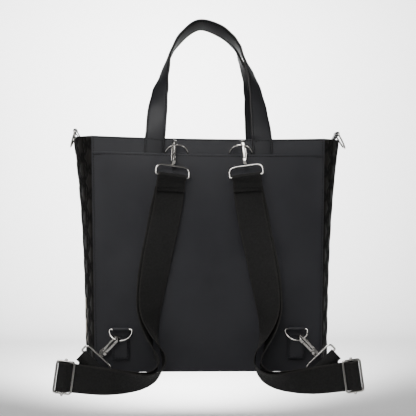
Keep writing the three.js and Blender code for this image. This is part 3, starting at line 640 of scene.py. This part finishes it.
def side_ring(name, side, profile, edge):
    hem = gusset_spot(1, TAB_WIDTH / BAG_TOP_DEPTH, 1 - SIDE_TAB_LENGTH / BAG_HEIGHT, -LEATHER)
    x = hem.x - SEAT - TAB_LEATHER / 2
    mouth = BAG_BASE + height_at(side)
    bar = Vector((x + SIDE_RING_LEAN, 0, mouth + SIDE_RING_RISE))
    legs = [(x - TAB_LEATHER - GAP, -SIDE_TAB_LENGTH), (x - TAB_LEATHER - GAP, -2), (x - 1, 2)]
    loop = []
    for i in range(7):
        turn = math.pi * (1.1 - 1.2 * i / 6)
        loop.append((bar.x + TAB_RADIUS * math.cos(turn), SIDE_RING_RISE + TAB_RADIUS * math.sin(turn)))
    spots = legs + loop + [(x + 2.4, 3.4), (x, -1), (x, -SIDE_TAB_LENGTH)]
    stations = dense(faced([Vector((out, 0, mouth + rise)) for out, rise in spots], DEPTH), 1.0)
    piece = strap(f"side_tab_leather_{name}", stations, profile, look["leather"], side, edge)
    finished(piece, "bag", "leather", f"side_tab_{name}")
    tilt = math.radians(SIDE_RING_TILTS[name])
    arc = Vector((math.sin(tilt), 0, -math.cos(tilt)))
    points = ring_points(SIDE_RING_HEIGHT, bar, side, DEPTH, arc)
    cord_along(f"side_ring_wire_{name}", points, RING_WIRE / 2, look["nickel"], f"ring_{name}", "nickel",
               True, 16, f"side_ring_{name}")


# Snap hooks: the cast pieces keep their solids' shape with their edges rounded

def rounded_copy(node, body, name, width):
    """A copy of a solid with clean faces and rounded edges, in place of the plain one."""
    source = bpy.data.objects[node]
    mesh = source.data.copy()
    mesh.transform(source.matrix_world)
    work = bmesh.new()
    work.from_mesh(mesh)
    bmesh.ops.remove_doubles(work, verts=work.verts, dist=2e-6)
    bmesh.ops.dissolve_limit(work, angle_limit=math.radians(0.6), verts=work.verts, edges=work.edges)
    work.to_mesh(mesh)
    work.free()
    smooth(mesh)
    mesh.materials.clear()
    mesh.materials.append(look["nickel"])
    finished(linked(name, mesh), body, "nickel", node, round_edges=width)


HOOK_INSIDE = HOOK_GAP / 2
CAP_HEIGHT = HOOK_BASE + HOOK_SHANK
LOOP_TOP = -GAP - LOOP_WIRE / 2
# Each hook's ring and arc, how far outwards it hangs on them, its way up, its loop's way and height
HOOKS = {
    "upper": (UPPER_BAR, UPPER_ARC, 3.5, Vector((-0.06, 0.34, 0.94)).normalized(), Vector((0.98, -0.2, 0.16)),
              UPPER_LOOP_HEIGHT),
    "lower": (LOWER_BAR, LOWER_ARC, 6.9, Vector((-0.695, 0, 0.719)).normalized(), Vector((0.719, 0, 0.695)),
              LOWER_LOOP_HEIGHT),
}


def swivel(level, name, side):
    """A swivel loop with its post and domed rivet head. It gives the middle of the loop's bar and its way."""
    ring_bar, arc, outward, up, loop_way, height = HOOKS[level]
    hung = CAP_HEIGHT + HOOK_INSIDE - HOOK_PLAY - RING_WIRE / 2
    foot = ring_contact(ring_bar, arc, outward) - up * hung
    bar = squared(loop_way, up)
    half = (WEBBING_WIDTH + LOOP_PLAY + LOOP_WIRE) / 2
    low, corner, shoulder = LOOP_TOP - height, LOOP_PLAY / 2, height / 2
    top_corner = half - 1.5 * shoulder
    bends = (((half - corner, low), (half, low), (half, low + corner)),
             ((half, LOOP_TOP - shoulder), (half, LOOP_TOP), (top_corner, LOOP_TOP)),
             ((-top_corner, LOOP_TOP), (-half, LOOP_TOP), (-half, LOOP_TOP - shoulder)),
             ((-half, low + corner), (-half, low), (corner - half, low)))
    flat = [bend(*points, i / 8) for points in bends for i in range(9)]
    points = [mirrored(foot + bar * x + up * y, side) for x, y in flat]
    cord_along(f"swivel_loop_{level}_{name}", points, LOOP_WIRE / 2, look["nickel"], "bag", "nickel",
               True, 14, f"swivel_{level}_{name}")
    depth = bar.cross(up)
    head_low = HOOK_BASE + GAP
    cut = [(0.01, LOOP_TOP), (RIVET_RADIUS, LOOP_TOP), (RIVET_RADIUS, head_low)]
    cut += [(RIVET_RADIUS + wide, head_low + rise) for wide, rise in ((1, 0), (0.95, 0.6), (0.4, 1.05))]
    cut.append((0.01, head_low + RIVET_HEAD))
    rings = [[mirrored(foot + up * y + (bar * c + depth * s) * radius, side) for c, s in circle(20)]
             for radius, y in cut]
    post = skin(f"rivet_{level}_{name}", rings, look["nickel"], range(20), range(len(cut)))
    finished(post, "bag", "nickel")
    return foot + up * (LOOP_TOP - height), bar


# Slider: its corners, its rim's half width and height as shares of its size, and its bar's end
SLIDER_CORNER, RIM_WIDE, RIM_TALL, RIM_SQUARE = 3.4, 0.48, 0.45, 0.7
# (distance in from the bar's end, half width) up to where it meets the rim
BAR_END = ((0, 0.02), (0.3, 1.3), (1.2, 1.9), (2.6, 1.9), (3.4, 1.35))
BAR_FLATNESS = 0.78


def slider_frame(name, side):
    """A strap slider: a rim of soft-cornered wire and a bar whose ends show past the rim."""
    def spot(across, along, out):
        return mirrored(SLIDER_AT + SLIDER_WAY * across + SLIDER_LONG * along + OUT * out, side)

    def soft(value):
        return math.copysign(abs(value) ** RIM_SQUARE, value)
    half = (SLIDER_WIDTH - SLIDER_RIM) / 2 - SLIDER_CORNER
    long = WEBBING_WIDTH / 2 + GAP + SLIDER_RIM / 2 - SLIDER_CORNER
    path = []
    for cx, cy, start in ((half, long, 0), (-half, long, 90), (-half, -long, 180), (half, -long, 270)):
        for i in range(9):
            turn = math.radians(start + 90 * i / 8)
            path.append((cx + SLIDER_CORNER * math.cos(turn), cy + SLIDER_CORNER * math.sin(turn)))
    rings = []
    for i, (x, y) in enumerate(path):
        (ax, ay), (bx, by) = path[i - 1], path[(i + 1) % len(path)]
        length = math.hypot(bx - ax, by - ay)
        nx, ny = (by - ay) / length, (ax - bx) / length
        ring = []
        for c, s in circle(20):
            wide, tall = soft(c) * SLIDER_RIM * RIM_WIDE, soft(s) * SLIDER_THICKNESS * RIM_TALL
            ring.append(spot(x + nx * wide, y + ny * wide, tall))
        rings.append(ring)
    rim = skin(f"slider_rim_{name}", rings, look["nickel"], range(20), range(len(path)), closed=True)
    finished(rim, "bag", "nickel", f"slider_{name}")
    end = WEBBING_WIDTH / 2 + GAP + SLIDER_RIM + SLIDER_BAR * 0.8
    cut = [(far - end, wide) for far, wide in BAR_END]
    cut += [(-along, wide) for along, wide in reversed(cut)]
    rings = [[spot(wide * c, along, wide * s * BAR_FLATNESS) for c, s in circle(16)] for along, wide in cut]
    bar = skin(f"slider_bar_{name}", rings, look["nickel"], range(16), range(len(cut)))
    finished(bar, "bag", "nickel")


def hardware():
    for name, side in SIDES:
        slider_frame(name, side)
        for level in ("upper", "lower"):
            here = f"{level}_{name}"
            rounded_copy(f"hook_{here}", "bag", f"snap_hook_{here}", HOOK_ROUND)
            rounded_copy(f"gate_{here}", f"lever_{here}", f"snap_lever_{here}", LEVER_ROUND)


# Shoulder straps: (share of the span across, share of the reach down, webbing widths out, turn in degrees,
# webbing widths between the two layers, how far the second layer shows past the first)
STRAP_ROUTE = (
    (0.332, 0.235, 0.46, 8, 0.085, 0.04), (0.358, 0.319, 0.36, 3, 0.08, 0.10),
    (0.395, 0.412, 0.33, 5, 0.075, 0.08), (0.437, 0.513, 0.36, 13, 0.075, 0.08),
    (0.471, 0.606, 0.43, 23, 0.075, 0.08), (0.493, 0.682, 0.50, 32, 0.08, 0.05),
    (0.500, 0.729, 0.58, 43, 0.10, 0.04), (0.493, 0.776, 0.64, 57, 0.12, 0.02),
    (0.471, 0.822, 0.70, 73, 0.17, 0), (0.434, 0.869, 0.72, 90, 0.22, 0), (0.395, 0.911, 0.73, 98, 0.25, 0),
    (0.382, 0.949, 0.74, 97, 0.24, 0), (0.410, 0.985, 0.75, 84, 0.18, 0), (0.474, 1.014, 0.75, 68, 0.11, 0),
    (0.563, 1.030, 0.72, 54, 0.09, 0), (0.698, 1.036, 0.67, 38, 0.08, 0), (0.884, 1.033, 0.60, 18, 0.075, 0),
)
STRAP_SPAN, STRAP_REACH = 155.5, 311
UPPER_ROW, LOWER_ROW = (0.2733, 0.0756), (0.7492, 0.8167)
SLIDER_ACROSS, SLIDER_DOWN, SLIDER_OUT, SLIDER_TILT = 1.226, 1.014, 0.5, math.radians(8)
LAYER_STEP = WEBBING_THICKNESS + GAP
LOOP_WRAP = LOOP_WIRE / 2 + SEAT + WEBBING_THICKNESS / 2
INNER_WRAP = SLIDER_BAR / math.sqrt(2) + GAP + WEBBING_THICKNESS / 2
OUTER_WRAP = INNER_WRAP + LAYER_STEP
UNDER_RIM = SLIDER_THICKNESS / 2 + GAP + WEBBING_THICKNESS / 2
UNDER_LAYERS = UNDER_RIM + 2 * LAYER_STEP + GAP / 2
SLOT_CORNER = SLIDER_WIDTH / 2 - SLIDER_RIM - GAP
LAYER_SHIFT = 0.66
SLANT_TURN, UNDER_TURN = 46.6, 250
OUTER_PUFF, INNER_PUFF = 1.94, 1.5
SLIDER_WAY = Vector((math.cos(SLIDER_TILT), 0, math.sin(SLIDER_TILT)))
SLIDER_LONG = Vector((-SLIDER_WAY.z, 0, SLIDER_WAY.x))


def on_back(across, down, out):
    share = smoothstep(down, UPPER_ROW[1], LOWER_ROW[1])

    def place(ring_across, ring_down, row):
        return Vector((ring_across + (across - row[0]) * STRAP_SPAN, 0,
                       BAG_TOP - ring_down - (down - row[1]) * STRAP_REACH))
    spot = place(UPPER_RING_SPREAD / 2, UPPER_RING_DROP, UPPER_ROW).lerp(
        place(LOWER_RING_SPREAD / 2, LOWER_RING_DROP, LOWER_ROW), share)
    spot.y = -BAG_BASE_DEPTH / 2 - out * WEBBING_WIDTH
    return spot


SLIDER_AT = on_back(SLIDER_ACROSS, SLIDER_DOWN, SLIDER_OUT)


def wrap(at, across, nose, face, radius):
    turns = []
    for i in range(13):
        turn = math.pi * i / 12
        out = nose * math.sin(turn) - face * math.cos(turn)
        turns.append((at + out * radius, across, out))
    return turns


def main_run(start, end):
    stops = [start] + [(on_back(*row[:3]),) + row[3:] for row in STRAP_ROUTE] + [end]
    route = Route([stop[0] for stop in stops])
    parts = 14
    run = []
    for i in range(parts * (len(stops) - 1) + 1):
        spot = i / parts
        k = min(int(spot), len(stops) - 2)
        share = spot - k
        turn, apart, slip = [mix(stops[k][n], stops[k + 1][n], share) for n in (1, 2, 3)]
        along = route.way(spot / (len(stops) - 1))
        level = along.cross(DEPTH).normalized()
        across = squared(level * math.cos(math.radians(turn)) - DEPTH * math.sin(math.radians(turn)), along)
        run.append((route.at(spot / (len(stops) - 1)), across, along.cross(across), apart, slip))
    return run


def beside_bar(back, out):
    """A place beside the slider's bar: back towards the bag and out to the viewer."""
    return SLIDER_AT - SLIDER_WAY * back + OUT * out


def over_bar(corner, low, radius, puff, tail):
    """The way over the bar; the far side bulges out to fill the slot."""
    places = [beside_bar(corner, -low)]
    for i in range(19):
        turn = math.radians(mix(SLANT_TURN, UNDER_TURN, i / 18))
        back = radius * math.cos(turn) * (puff if turn > math.pi / 2 else 1)
        places.append(beside_bar(back, radius * math.sin(turn)))
    places += [beside_bar(back, out) for back, out in tail]
    return faced(places, SLIDER_LONG)


def straightened(stations):
    """Keeps neighbouring stations' ways on the same side, however each was given."""
    last = stations[0]
    made = []
    for at, across, face in stations:
        width = -across if across.dot(last[1]) < 0 else across
        out = -face if face.dot(last[2]) < 0 else face
        last = (at, width, out)
        made.append(last)
    return made


def webbing_profile():
    """A woven strap's cut: flat, with a rolled edge at each side."""
    half = WEBBING_WIDTH / 2
    front = [(-half, 0.22), (-half + 0.25, 0.55), (-half + 1.0, 0.68), (-half + 2.0, 0.58)]
    front += [(w, 0.6) for w in range(-16, 17, 2)]
    front += [(-w, out) for w, out in reversed(front[:4])]
    return front + [(w, -out) for w, out in reversed(front)]


def shoulder_strap(name, side, upper, lower):
    upper_at, upper_across = upper
    lower_at, lower_across = lower
    down = squared(on_back(*STRAP_ROUTE[0][:3]) - upper_at, upper_across)
    upper_face = upper_across.cross(-down)
    start = (upper_at - upper_face * LOOP_WRAP + down * 8, math.degrees(math.asin(-upper_across.y)),
             LAYER_STEP / WEBBING_WIDTH + 0.01, 0)
    end = (beside_bar(SLIDER_WIDTH / 2 + 1, -UNDER_RIM), 0, LAYER_STEP / WEBBING_WIDTH, 0)
    run = main_run(start, end)
    plain_run = [s[:3] for s in run]
    front = 1 if run[0][2].dot(upper_face) > 0 else -1
    lengths = measured(plain_run)
    sewn = [s for s, far in zip(plain_run, lengths) if SEWN_END * 0.2 - 2 < far < SEWN_END * 0.92 - 3]
    flap = [(at + face * front * (LAYER_STEP + GAP), across, face) for at, across, face in reversed(sewn)]
    over_loop = wrap(upper_at, upper_across, -down, upper_face, LOOP_WRAP)[::-1]
    over_slider = over_bar(SLOT_CORNER, UNDER_RIM, OUTER_WRAP, OUTER_PUFF, ((SLOT_CORNER, -UNDER_LAYERS),))
    nose = squared(lower_at - SLIDER_AT, lower_across)
    lower_face = lower_across.cross(nose)
    back_start = beside_bar(SLIDER_WIDTH / 2 + 3.5, -UNDER_LAYERS)
    back_end = lower_at - lower_face * LOOP_WRAP - nose * 5
    back = []
    for i in range(25):
        share = i / 24
        back.append((back_start.lerp(back_end, share), SLIDER_LONG.lerp(lower_across, share).normalized(),
                     OUT.lerp(lower_face, share).normalized()))
    lower_wrap = [(at, across, -face) for at, across, face in
                  wrap(lower_at, lower_across, nose, lower_face, LOOP_WRAP)]
    lower_end = [(lower_at + lower_face * lift - nose * by, lower_across, -lower_face)
                 for by, lift in ((6, LOOP_WRAP), (14, LAYER_STEP + GAP - LOOP_WRAP))]
    outer = straightened(flap + over_loop + plain_run + over_slider + back + lower_wrap + lower_end)
    profile = webbing_profile()
    piece = strap(f"shoulder_webbing_{name}", gentle(outer), profile, look["webbing"], side)
    finished(piece, "bag", "webbing", f"webbing_{name}")
    second = [(at - face * apart * WEBBING_WIDTH + across * slip * WEBBING_WIDTH, across, face)
              for at, across, face, apart, slip in run[7:]]
    turn = over_bar(SLOT_CORNER - LAYER_SHIFT, UNDER_RIM + LAYER_STEP, INNER_WRAP, INNER_PUFF,
                    ((1, -INNER_WRAP),))
    inner = straightened(second + turn)
    piece = strap(f"second_webbing_{name}", gentle(inner), profile, look["webbing"], side)
    finished(piece, "bag", "webbing", f"inner_webbing_{name}")
    sewn_rows(side, straightened(flap), lower_at, lower_across, lower_face, nose)


def gentle(stations):
    """Drops stations that lie on the one before, so that the strap's faces stay even."""
    made = [stations[0]]
    for station in stations[1:]:
        if (station[0] - made[-1][0]).length > 0.25:
            made.append(station)
    return made


def sewn_rows(side, flap, lower_at, lower_across, lower_face, nose):
    """Stitches across the webbing's sewn ends."""
    def sewn(at, across):
        rows["bag"].append([mirrored(at + across * w, side) for w in range(-17, 18, 2)])
    over = WEBBING_THICKNESS / 2 + 0.15
    out = flap[0][2] * (1 if flap[0][2].y < 0 else -1)
    for at, across, face in (flap[1], flap[min(5, len(flap) - 1)]):
        sewn(at + (face if face.dot(out) > 0 else -face) * over, across)
    for by, sunk in ((7.0, 0.45), (10.0, 1.7), (13.0, 2.9)):
        sewn(lower_at + lower_face * (LOOP_WRAP - sunk + over) - nose * by, lower_across)


def straps():
    for name, side in SIDES:
        shoulder_strap(name, side, swivel("upper", name, side), swivel("lower", name, side))


# Nodes

def feed(tree, socket, value):
    """Links an output to a socket, or sets the socket to a number, a colour or a material."""
    if isinstance(value, bpy.types.NodeSocket):
        tree.links.new(value, socket)
    else:
        socket.default_value = (*value, 1) if isinstance(value, tuple) else value


def add_node(tree, kind, inputs=(), **settings):
    """Adds a node and gives its outputs. Inputs are pairs of a socket's label and what feeds it."""
    made = tree.nodes.new(kind)
    for label, value in settings.items():
        setattr(made, label, value)
    for label, value in inputs:
        feed(tree, made.inputs[label], value)
    return made.outputs


def node_group(kind, name, inputs, outputs):
    """An empty group, with the outputs of its input node and the inputs of its output node."""
    tree = bpy.data.node_groups.new(name, kind)
    for way, sockets in (("INPUT", inputs), ("OUTPUT", outputs)):
        for label, socket in sockets:
            tree.interface.new_socket(label, in_out=way, socket_type="NodeSocket" + socket)
    return tree, tree.nodes.new("NodeGroupInput").outputs, tree.nodes.new("NodeGroupOutput").inputs


# Stitches: short thread pieces set along rows by a node tree

def stitch_tree():
    tree, given, result = node_group(
        "GeometryNodeTree", "stitch row",
        (("Rows", "Geometry"), ("Pitch", "Float"), ("Length", "Float"), ("Thickness", "Float"),
         ("Thread", "Material")), (("Stitches", "Geometry"),))
    curve = add_node(tree, "GeometryNodeMeshToCurve", [("Mesh", given["Rows"])])
    spaced = add_node(tree, "GeometryNodeResampleCurve",
                      [("Curve", curve["Curve"]), ("Length", given["Pitch"])], mode="LENGTH")
    ball = add_node(tree, "GeometryNodeMeshUVSphere", [("Segments", 8), ("Rings", 5), ("Radius", 0.5)])
    size = add_node(tree, "ShaderNodeCombineXYZ",
                    [("X", given["Thickness"]), ("Y", given["Thickness"]), ("Z", given["Length"])])
    shaped = add_node(tree, "GeometryNodeTransform", [("Geometry", ball["Mesh"]), ("Scale", size["Vector"])])
    tangent = add_node(tree, "GeometryNodeInputTangent")
    turn = add_node(tree, "FunctionNodeAlignRotationToVector", [("Vector", tangent["Tangent"])], axis="Z")
    placed = add_node(tree, "GeometryNodeInstanceOnPoints",
                      [("Points", spaced["Curve"]), ("Instance", shaped["Geometry"]),
                       ("Rotation", turn["Rotation"])])
    real = add_node(tree, "GeometryNodeRealizeInstances", [("Geometry", placed["Instances"])])
    coated = add_node(tree, "GeometryNodeSetMaterial",
                      [("Geometry", real["Geometry"]), ("Material", given["Thread"])])
    feed(tree, result["Stitches"], coated["Geometry"])
    return tree


def stitches(tree, name, lines, body, pitch, length, thickness):
    points, edges = [], []
    for line in lines:
        first = len(points)
        points += [tuple(p * MM) for p in line]
        edges += [(first + i, first + i + 1) for i in range(len(line) - 1)]
    mesh = bpy.data.meshes.new(name)
    mesh.from_pydata(points, edges, [])
    piece = linked(name, mesh)
    made = piece.modifiers.new("stitches", "NODES")
    made.node_group = tree
    sockets = {s.name: s.identifier for s in tree.interface.items_tree if s.in_out == "INPUT"}
    for label, value in (("Pitch", pitch), ("Length", length), ("Thickness", thickness)):
        made[sockets[label]] = value * MM
    made[sockets["Thread"]] = look["thread"]
    plain_mesh(piece)
    smooth(piece.data)
    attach(piece, body)


def panel_rows():
    """Stitch rows on the bag: below the mouth, down the sides and along the pocket's edge."""
    for side in (-1, 1):
        def row(spots, lift, side=side):
            return [panel_spot(side, a, u, lift + panel_slack(side, a, u)) for a, u in spots]
        mouth = [(a / 50, 1 - MOUTH_ROW_DROP / BAG_HEIGHT) for a in range(-49, 50)]
        rows["bag"].append(row(mouth, STITCH_LIFT))
        for edge in (-SIDE_ROW, SIDE_ROW):
            rows["bag"].append(row([(edge, u / 60) for u in range(1, 60)], STITCH_LIFT if side > 0 else 0))

    out = POCKET_LEATHER + STITCH_LIFT
    edge_up = POCKET_TOP - POCKET_ROW_DROP / BAG_HEIGHT
    rows["bag"].append([pocket_spot(a / 60, edge_up, out) for a in range(-59, 60)])
    for edge in (-SIDE_ROW, SIDE_ROW):
        rows["bag"].append([pocket_spot(edge, u / 60 * edge_up, out) for u in range(1, 60)])
        rows["tack"].append([pocket_spot(math.copysign(SIDE_ROW - i * 0.01, edge),
                                         edge_up - TACK_DROP / BAG_HEIGHT, out) for i in range(7)])


# Finishes: lengths in shaders are in metres, colours are linear

def maths(tree, operation, a, b=0.0):
    return add_node(tree, "ShaderNodeMath", ((0, a), (1, b)), operation=operation)[0]


def times(tree, a, b):
    return maths(tree, "MULTIPLY", a, b)


def plus(tree, a, b):
    return maths(tree, "ADD", a, b)


def ranged(tree, value, low, high, out_low, out_high):
    inputs = zip(("Value", "From Min", "From Max", "To Min", "To Max"), (value, low, high, out_low, out_high))
    return add_node(tree, "ShaderNodeMapRange", inputs)[0]


def tinted(tree, factor, low, high):
    return add_node(tree, "ShaderNodeMix", ((0, factor), (6, low), (7, high)), data_type="RGBA")[2]


def mottle(tree, place, scale, detail=2.0):
    inputs = ("Vector", place), ("Scale", scale), ("Detail", detail)
    return add_node(tree, "ShaderNodeTexNoise", inputs)["Fac"]


def attribute(tree, name):
    return add_node(tree, "ShaderNodeAttribute", attribute_name=name)["Fac"]


def own_place(tree):
    return add_node(tree, "ShaderNodeTexCoord")["Object"]


def grain_group():
    """Pebbled leather grain over fine pores, and a slow variation of the surface."""
    tree, given, result = node_group(
        "ShaderNodeTree", "leather grain", (("Vector", "Vector"), ("Pebbles", "Float"), ("Depth", "Float")),
        (("Height", "Float"), ("Variation", "Float")))
    place = given["Vector"]
    inputs = ("Vector", place), ("Scale", given["Pebbles"]), ("Smoothness", 0.35)
    cells = add_node(tree, "ShaderNodeTexVoronoi", inputs, feature="SMOOTH_F1")
    pebble = maths(tree, "SUBTRACT", 1.0, cells["Distance"])
    height = plus(tree, pebble, times(tree, mottle(tree, place, 2600, 3), 0.35))
    feed(tree, result["Height"], times(tree, height, given["Depth"]))
    feed(tree, result["Variation"], mottle(tree, place, 22, 4))
    return tree


def wear_group():
    """Rubbing along an edge: the piece's own edge value, broken up by noise."""
    tree, given, result = node_group("ShaderNodeTree", "edge wear", (("Vector", "Vector"), ("Edge", "Float")),
                                     (("Mask", "Float"),))
    rubbed = ranged(tree, mottle(tree, given["Vector"], 160, 5), 0.42, 0.62, 0.25, 1.0)
    feed(tree, result["Mask"], times(tree, rubbed, given["Edge"]))
    return tree


def weave_group():
    """Webbing: ribs across its width that step from one warp cord to the next, and rolled selvages. Thread is 1
    on the threads' crowns and 0 between them, where the webbing's colour gets painted shade.
    """
    tree, given, result = node_group("ShaderNodeTree", "ribbed weave", (("UV", "Vector"),),
                                     (("Height", "Float"), ("Thread", "Float"), ("Selvage", "Float")))

    def ridges(count):
        return maths(tree, "ABSOLUTE", maths(tree, "SINE", times(tree, count, math.pi)))
    split = add_node(tree, "ShaderNodeSeparateXYZ", (("Vector", given["UV"]),))
    cords = maths(tree, "DIVIDE", split["X"], WEBBING_CORD * MM)
    step = times(tree, maths(tree, "MODULO", maths(tree, "FLOOR", cords), 2.0), 0.5)
    rib = ridges(plus(tree, maths(tree, "DIVIDE", split["Y"], WEBBING_RIB * MM), step))
    cord = ridges(cords)
    feed(tree, result["Height"],
         plus(tree, times(tree, rib, 0.7), times(tree, cord, 0.3)))
    # Thread marks the crowns of the threads; the webbing's colour is darkened between them as painted shade
    feed(tree, result["Thread"], times(tree, rib, cord))
    edge = maths(tree, "ABSOLUTE", split["X"])
    feed(tree, result["Selvage"], ranged(tree, edge, 0.0165, 0.0185, 0.0, 1.0))
    return tree


def new_material(name, **values):
    made = bpy.data.materials.new(name)
    made.use_nodes = True
    shader = made.node_tree.nodes["Principled BSDF"]
    for label, value in values.items():
        feed(made.node_tree, shader.inputs[label.replace("_", " ")], value)
    return made, made.node_tree, shader


def surface(tree, shader, colour, rough, height, distance, strength):
    """Gives a shader its colour, its roughness and its bump."""
    inputs = ("Height", height), ("Distance", distance), ("Strength", strength)
    bump = add_node(tree, "ShaderNodeBump", inputs)
    for label, value in (("Base Color", colour), ("Roughness", rough), ("Normal", bump["Normal"])):
        feed(tree, shader.inputs[label], value)


def placed_group(tree, group, *inputs):
    return add_node(tree, "ShaderNodeGroup", inputs, node_tree=group)


def leather_look(name, groups, dark, light, rough_low, rough_high, depth, worn_edge):
    made, tree, shader = new_material(name, Specular_IOR_Level=0.34, Coat_Weight=0.03, Coat_Roughness=0.35)
    place = own_place(tree)
    grain = placed_group(tree, groups["grain"], ("Vector", place), ("Pebbles", 950.0), ("Depth", depth))
    colour = tinted(tree, grain["Variation"], dark, light)
    rough = ranged(tree, grain["Variation"], 0.3, 0.7, rough_low, rough_high)
    if worn_edge:
        edge = attribute(tree, "edge")
        worn = placed_group(tree, groups["wear"], ("Vector", place), ("Edge", edge))["Mask"]
        colour = tinted(tree, worn, colour, (0.030, 0.026, 0.023))
        rough = plus(tree, rough, times(tree, worn, 0.12))
    surface(tree, shader, colour, rough, grain["Height"], 0.00016, 0.55)
    return made


def embossed_look(groups):
    made, tree, shader = new_material("embossed scales", Specular_IOR_Level=0.2)
    place = own_place(tree)
    grain = placed_group(tree, groups["grain"], ("Vector", place), ("Pebbles", 1500.0), ("Depth", 0.6))
    raised = attribute(tree, "raised")
    # Painted shade darkens the grooves between the scales and a painted highlight lightens the raised scales,
    # both following the relief height
    colour = tinted(tree, raised, (0.0025, 0.0023, 0.0022), (0.0150, 0.0135, 0.0120))
    colour = tinted(tree, attribute(tree, "light_scale"), colour, (0.52, 0.47, 0.38))
    surface(tree, shader, colour, ranged(tree, raised, 0.0, 0.9, 0.72, 0.5), grain["Height"], 0.00012, 0.5)
    return made


def webbing_look(groups):
    made, tree, shader = new_material("ribbed webbing", Specular_IOR_Level=0.25, Sheen_Weight=0.06,
                                      Sheen_Roughness=0.45, Sheen_Tint=(0.6, 0.58, 0.56))
    uv = add_node(tree, "ShaderNodeUVMap", uv_map="UVMap")
    weave = placed_group(tree, groups["weave"], ("UV", uv["UV"]))
    fuzz = mottle(tree, own_place(tree), 420)
    # Painted shade: the webbing is much darker in the gaps between its threads than on their crowns
    colour = tinted(tree, weave["Thread"], (0.0030, 0.0030, 0.0030), (0.0190, 0.0182, 0.0172))
    colour = tinted(tree, times(tree, weave["Selvage"], 0.55), colour, (0.026, 0.0235, 0.021))
    surface(tree, shader, colour, ranged(tree, fuzz, 0.3, 0.7, 0.62, 0.8), weave["Height"], 0.00030, 0.8)
    return made


def nickel_look():
    made, tree, shader = new_material("polished nickel", Metallic=1.0)
    scuffs = mottle(tree, own_place(tree), 260, 6)
    surface(tree, shader, tinted(tree, scuffs, (0.62, 0.60, 0.57), (0.80, 0.775, 0.735)),
            ranged(tree, scuffs, 0.35, 0.65, 0.10, 0.19), scuffs, 0.00004, 0.3)
    return made


def thread_look():
    made, tree, shader = new_material("black thread", Specular_IOR_Level=0.15)
    twist = mottle(tree, own_place(tree), 1900)
    surface(tree, shader, tinted(tree, twist, (0.0012, 0.0012, 0.0012), (0.0045, 0.0044, 0.0042)),
            ranged(tree, twist, 0.3, 0.7, 0.42, 0.6), twist, 0.0001, 0.6)
    return made


def finishes():
    groups = {"grain": grain_group(), "wear": wear_group(), "weave": weave_group()}
    look["leather"] = leather_look("smooth leather", groups, (0.0150, 0.0150, 0.0180),
                                   (0.0225, 0.0225, 0.0268), 0.38, 0.52, 1.0, False)
    look["handle"] = leather_look("handle leather", groups, (0.0115, 0.0115, 0.0135),
                                  (0.0175, 0.0175, 0.0200), 0.48, 0.60, 0.8, True)
    look["embossed"] = embossed_look(groups)
    look["webbing"] = webbing_look(groups)
    look["nickel"] = nickel_look()
    look["thread"] = thread_look()


# Studio, in metres. The camera stands a little to the left, which shows more of the left gusset.
CAMERA_AT, CAMERA_TURN, CAMERA_LENS = (-0.0829, -1.9582, -0.2424), -2.5, 123.6
PHOTO_WIDTH = 416
FLOOR, FLOOR_FRONT, WALL, WALL_TOP, BACKDROP_HALF, COVE = -0.62, -3.2, 3.1, 3.4, 4.5, 1.0
# Name, place, what it points at, size, power in watts, spread in degrees
LIGHTS = (
    ("key", (-0.25, -0.75, 0.75), (0, 0, -0.1), 0.7, 1.5, 60),
    ("front", (-0.35, -2.3, 0.55), (0, 0, -0.12), 0.8, 0.75, 34),
    ("left fill", (-1.4, -1.3, 0.1), (0, 0, -0.25), 0.9, 0.9, 60),
    ("right fill", (1.5, -1.2, 0.3), (0, 0, -0.25), 0.8, 0.9, 60),
    ("backdrop light", (0, 0.3, -0.3), (0, 2, 0), 0.3, 92, 82),
)


def photo_camera():
    data = bpy.data.cameras.new("camera")
    data.lens = CAMERA_LENS
    data.sensor_width = 36
    data.shift_x = -0.5 / PHOTO_WIDTH
    camera = linked("camera", data)
    camera.location = CAMERA_AT
    camera.rotation_euler = (math.pi / 2, 0, math.radians(CAMERA_TURN))
    bpy.context.scene.camera = camera


def floor_and_wall():
    """A pale floor that curves up into a wall far behind the bag."""
    cove = [math.pi / 2 * i / 16 for i in range(17)]
    profile = [(FLOOR_FRONT, FLOOR)]
    profile += [(WALL - COVE + COVE * math.sin(t), FLOOR + COVE * (1 - math.cos(t))) for t in cove]
    profile.append((WALL, WALL_TOP))
    mesh = bpy.data.meshes.new("backdrop")
    mesh.from_pydata([(x, y, z) for y, z in profile for x in (-BACKDROP_HALF, BACKDROP_HALF)], [],
                     [(2 * i, 2 * i + 1, 2 * i + 3, 2 * i + 2) for i in range(len(profile) - 1)])
    smooth(mesh)
    paper, tree, shader = new_material("pale paper", Roughness=0.9)
    fibre = mottle(tree, own_place(tree), 60)
    feed(tree, shader.inputs["Base Color"], tinted(tree, fibre, (0.93, 0.93, 0.93), (0.96, 0.96, 0.96)))
    mesh.materials.append(paper)
    backdrop = linked("backdrop", mesh)


def lights():
    world = bpy.data.worlds.new("studio")
    world.use_nodes = True
    shade = world.node_tree.nodes["Background"].inputs
    shade["Color"].default_value = (1, 1, 1, 1)
    shade["Strength"].default_value = 0.1
    bpy.context.scene.world = world
    for name, place, aim, size, power, spread in LIGHTS:
        light = bpy.data.lights.new(name, "AREA")
        light.size = size
        light.energy = power
        light.spread = math.radians(spread)
        lamp = linked(name, light)
        lamp.location = place
        lamp.visible_camera = False
        lamp.rotation_euler = (Vector(aim) - Vector(place)).to_track_quat("-Z", "Y").to_euler()


look = {}
rows = {"bag": [], "tack": []}
finishes()
photo_camera()
floor_and_wall()
lights()
bag_panels()
gussets()
base()
seams()
handles()
tabs_and_rings()
hardware()
straps()
panel_rows()
stitching = stitch_tree()
stitches(stitching, "stitch_rows", rows["bag"], "bag", *ROW_STITCH)
stitches(stitching, "stitch_tacks", rows["tack"], "bag", *TACK_STITCH)
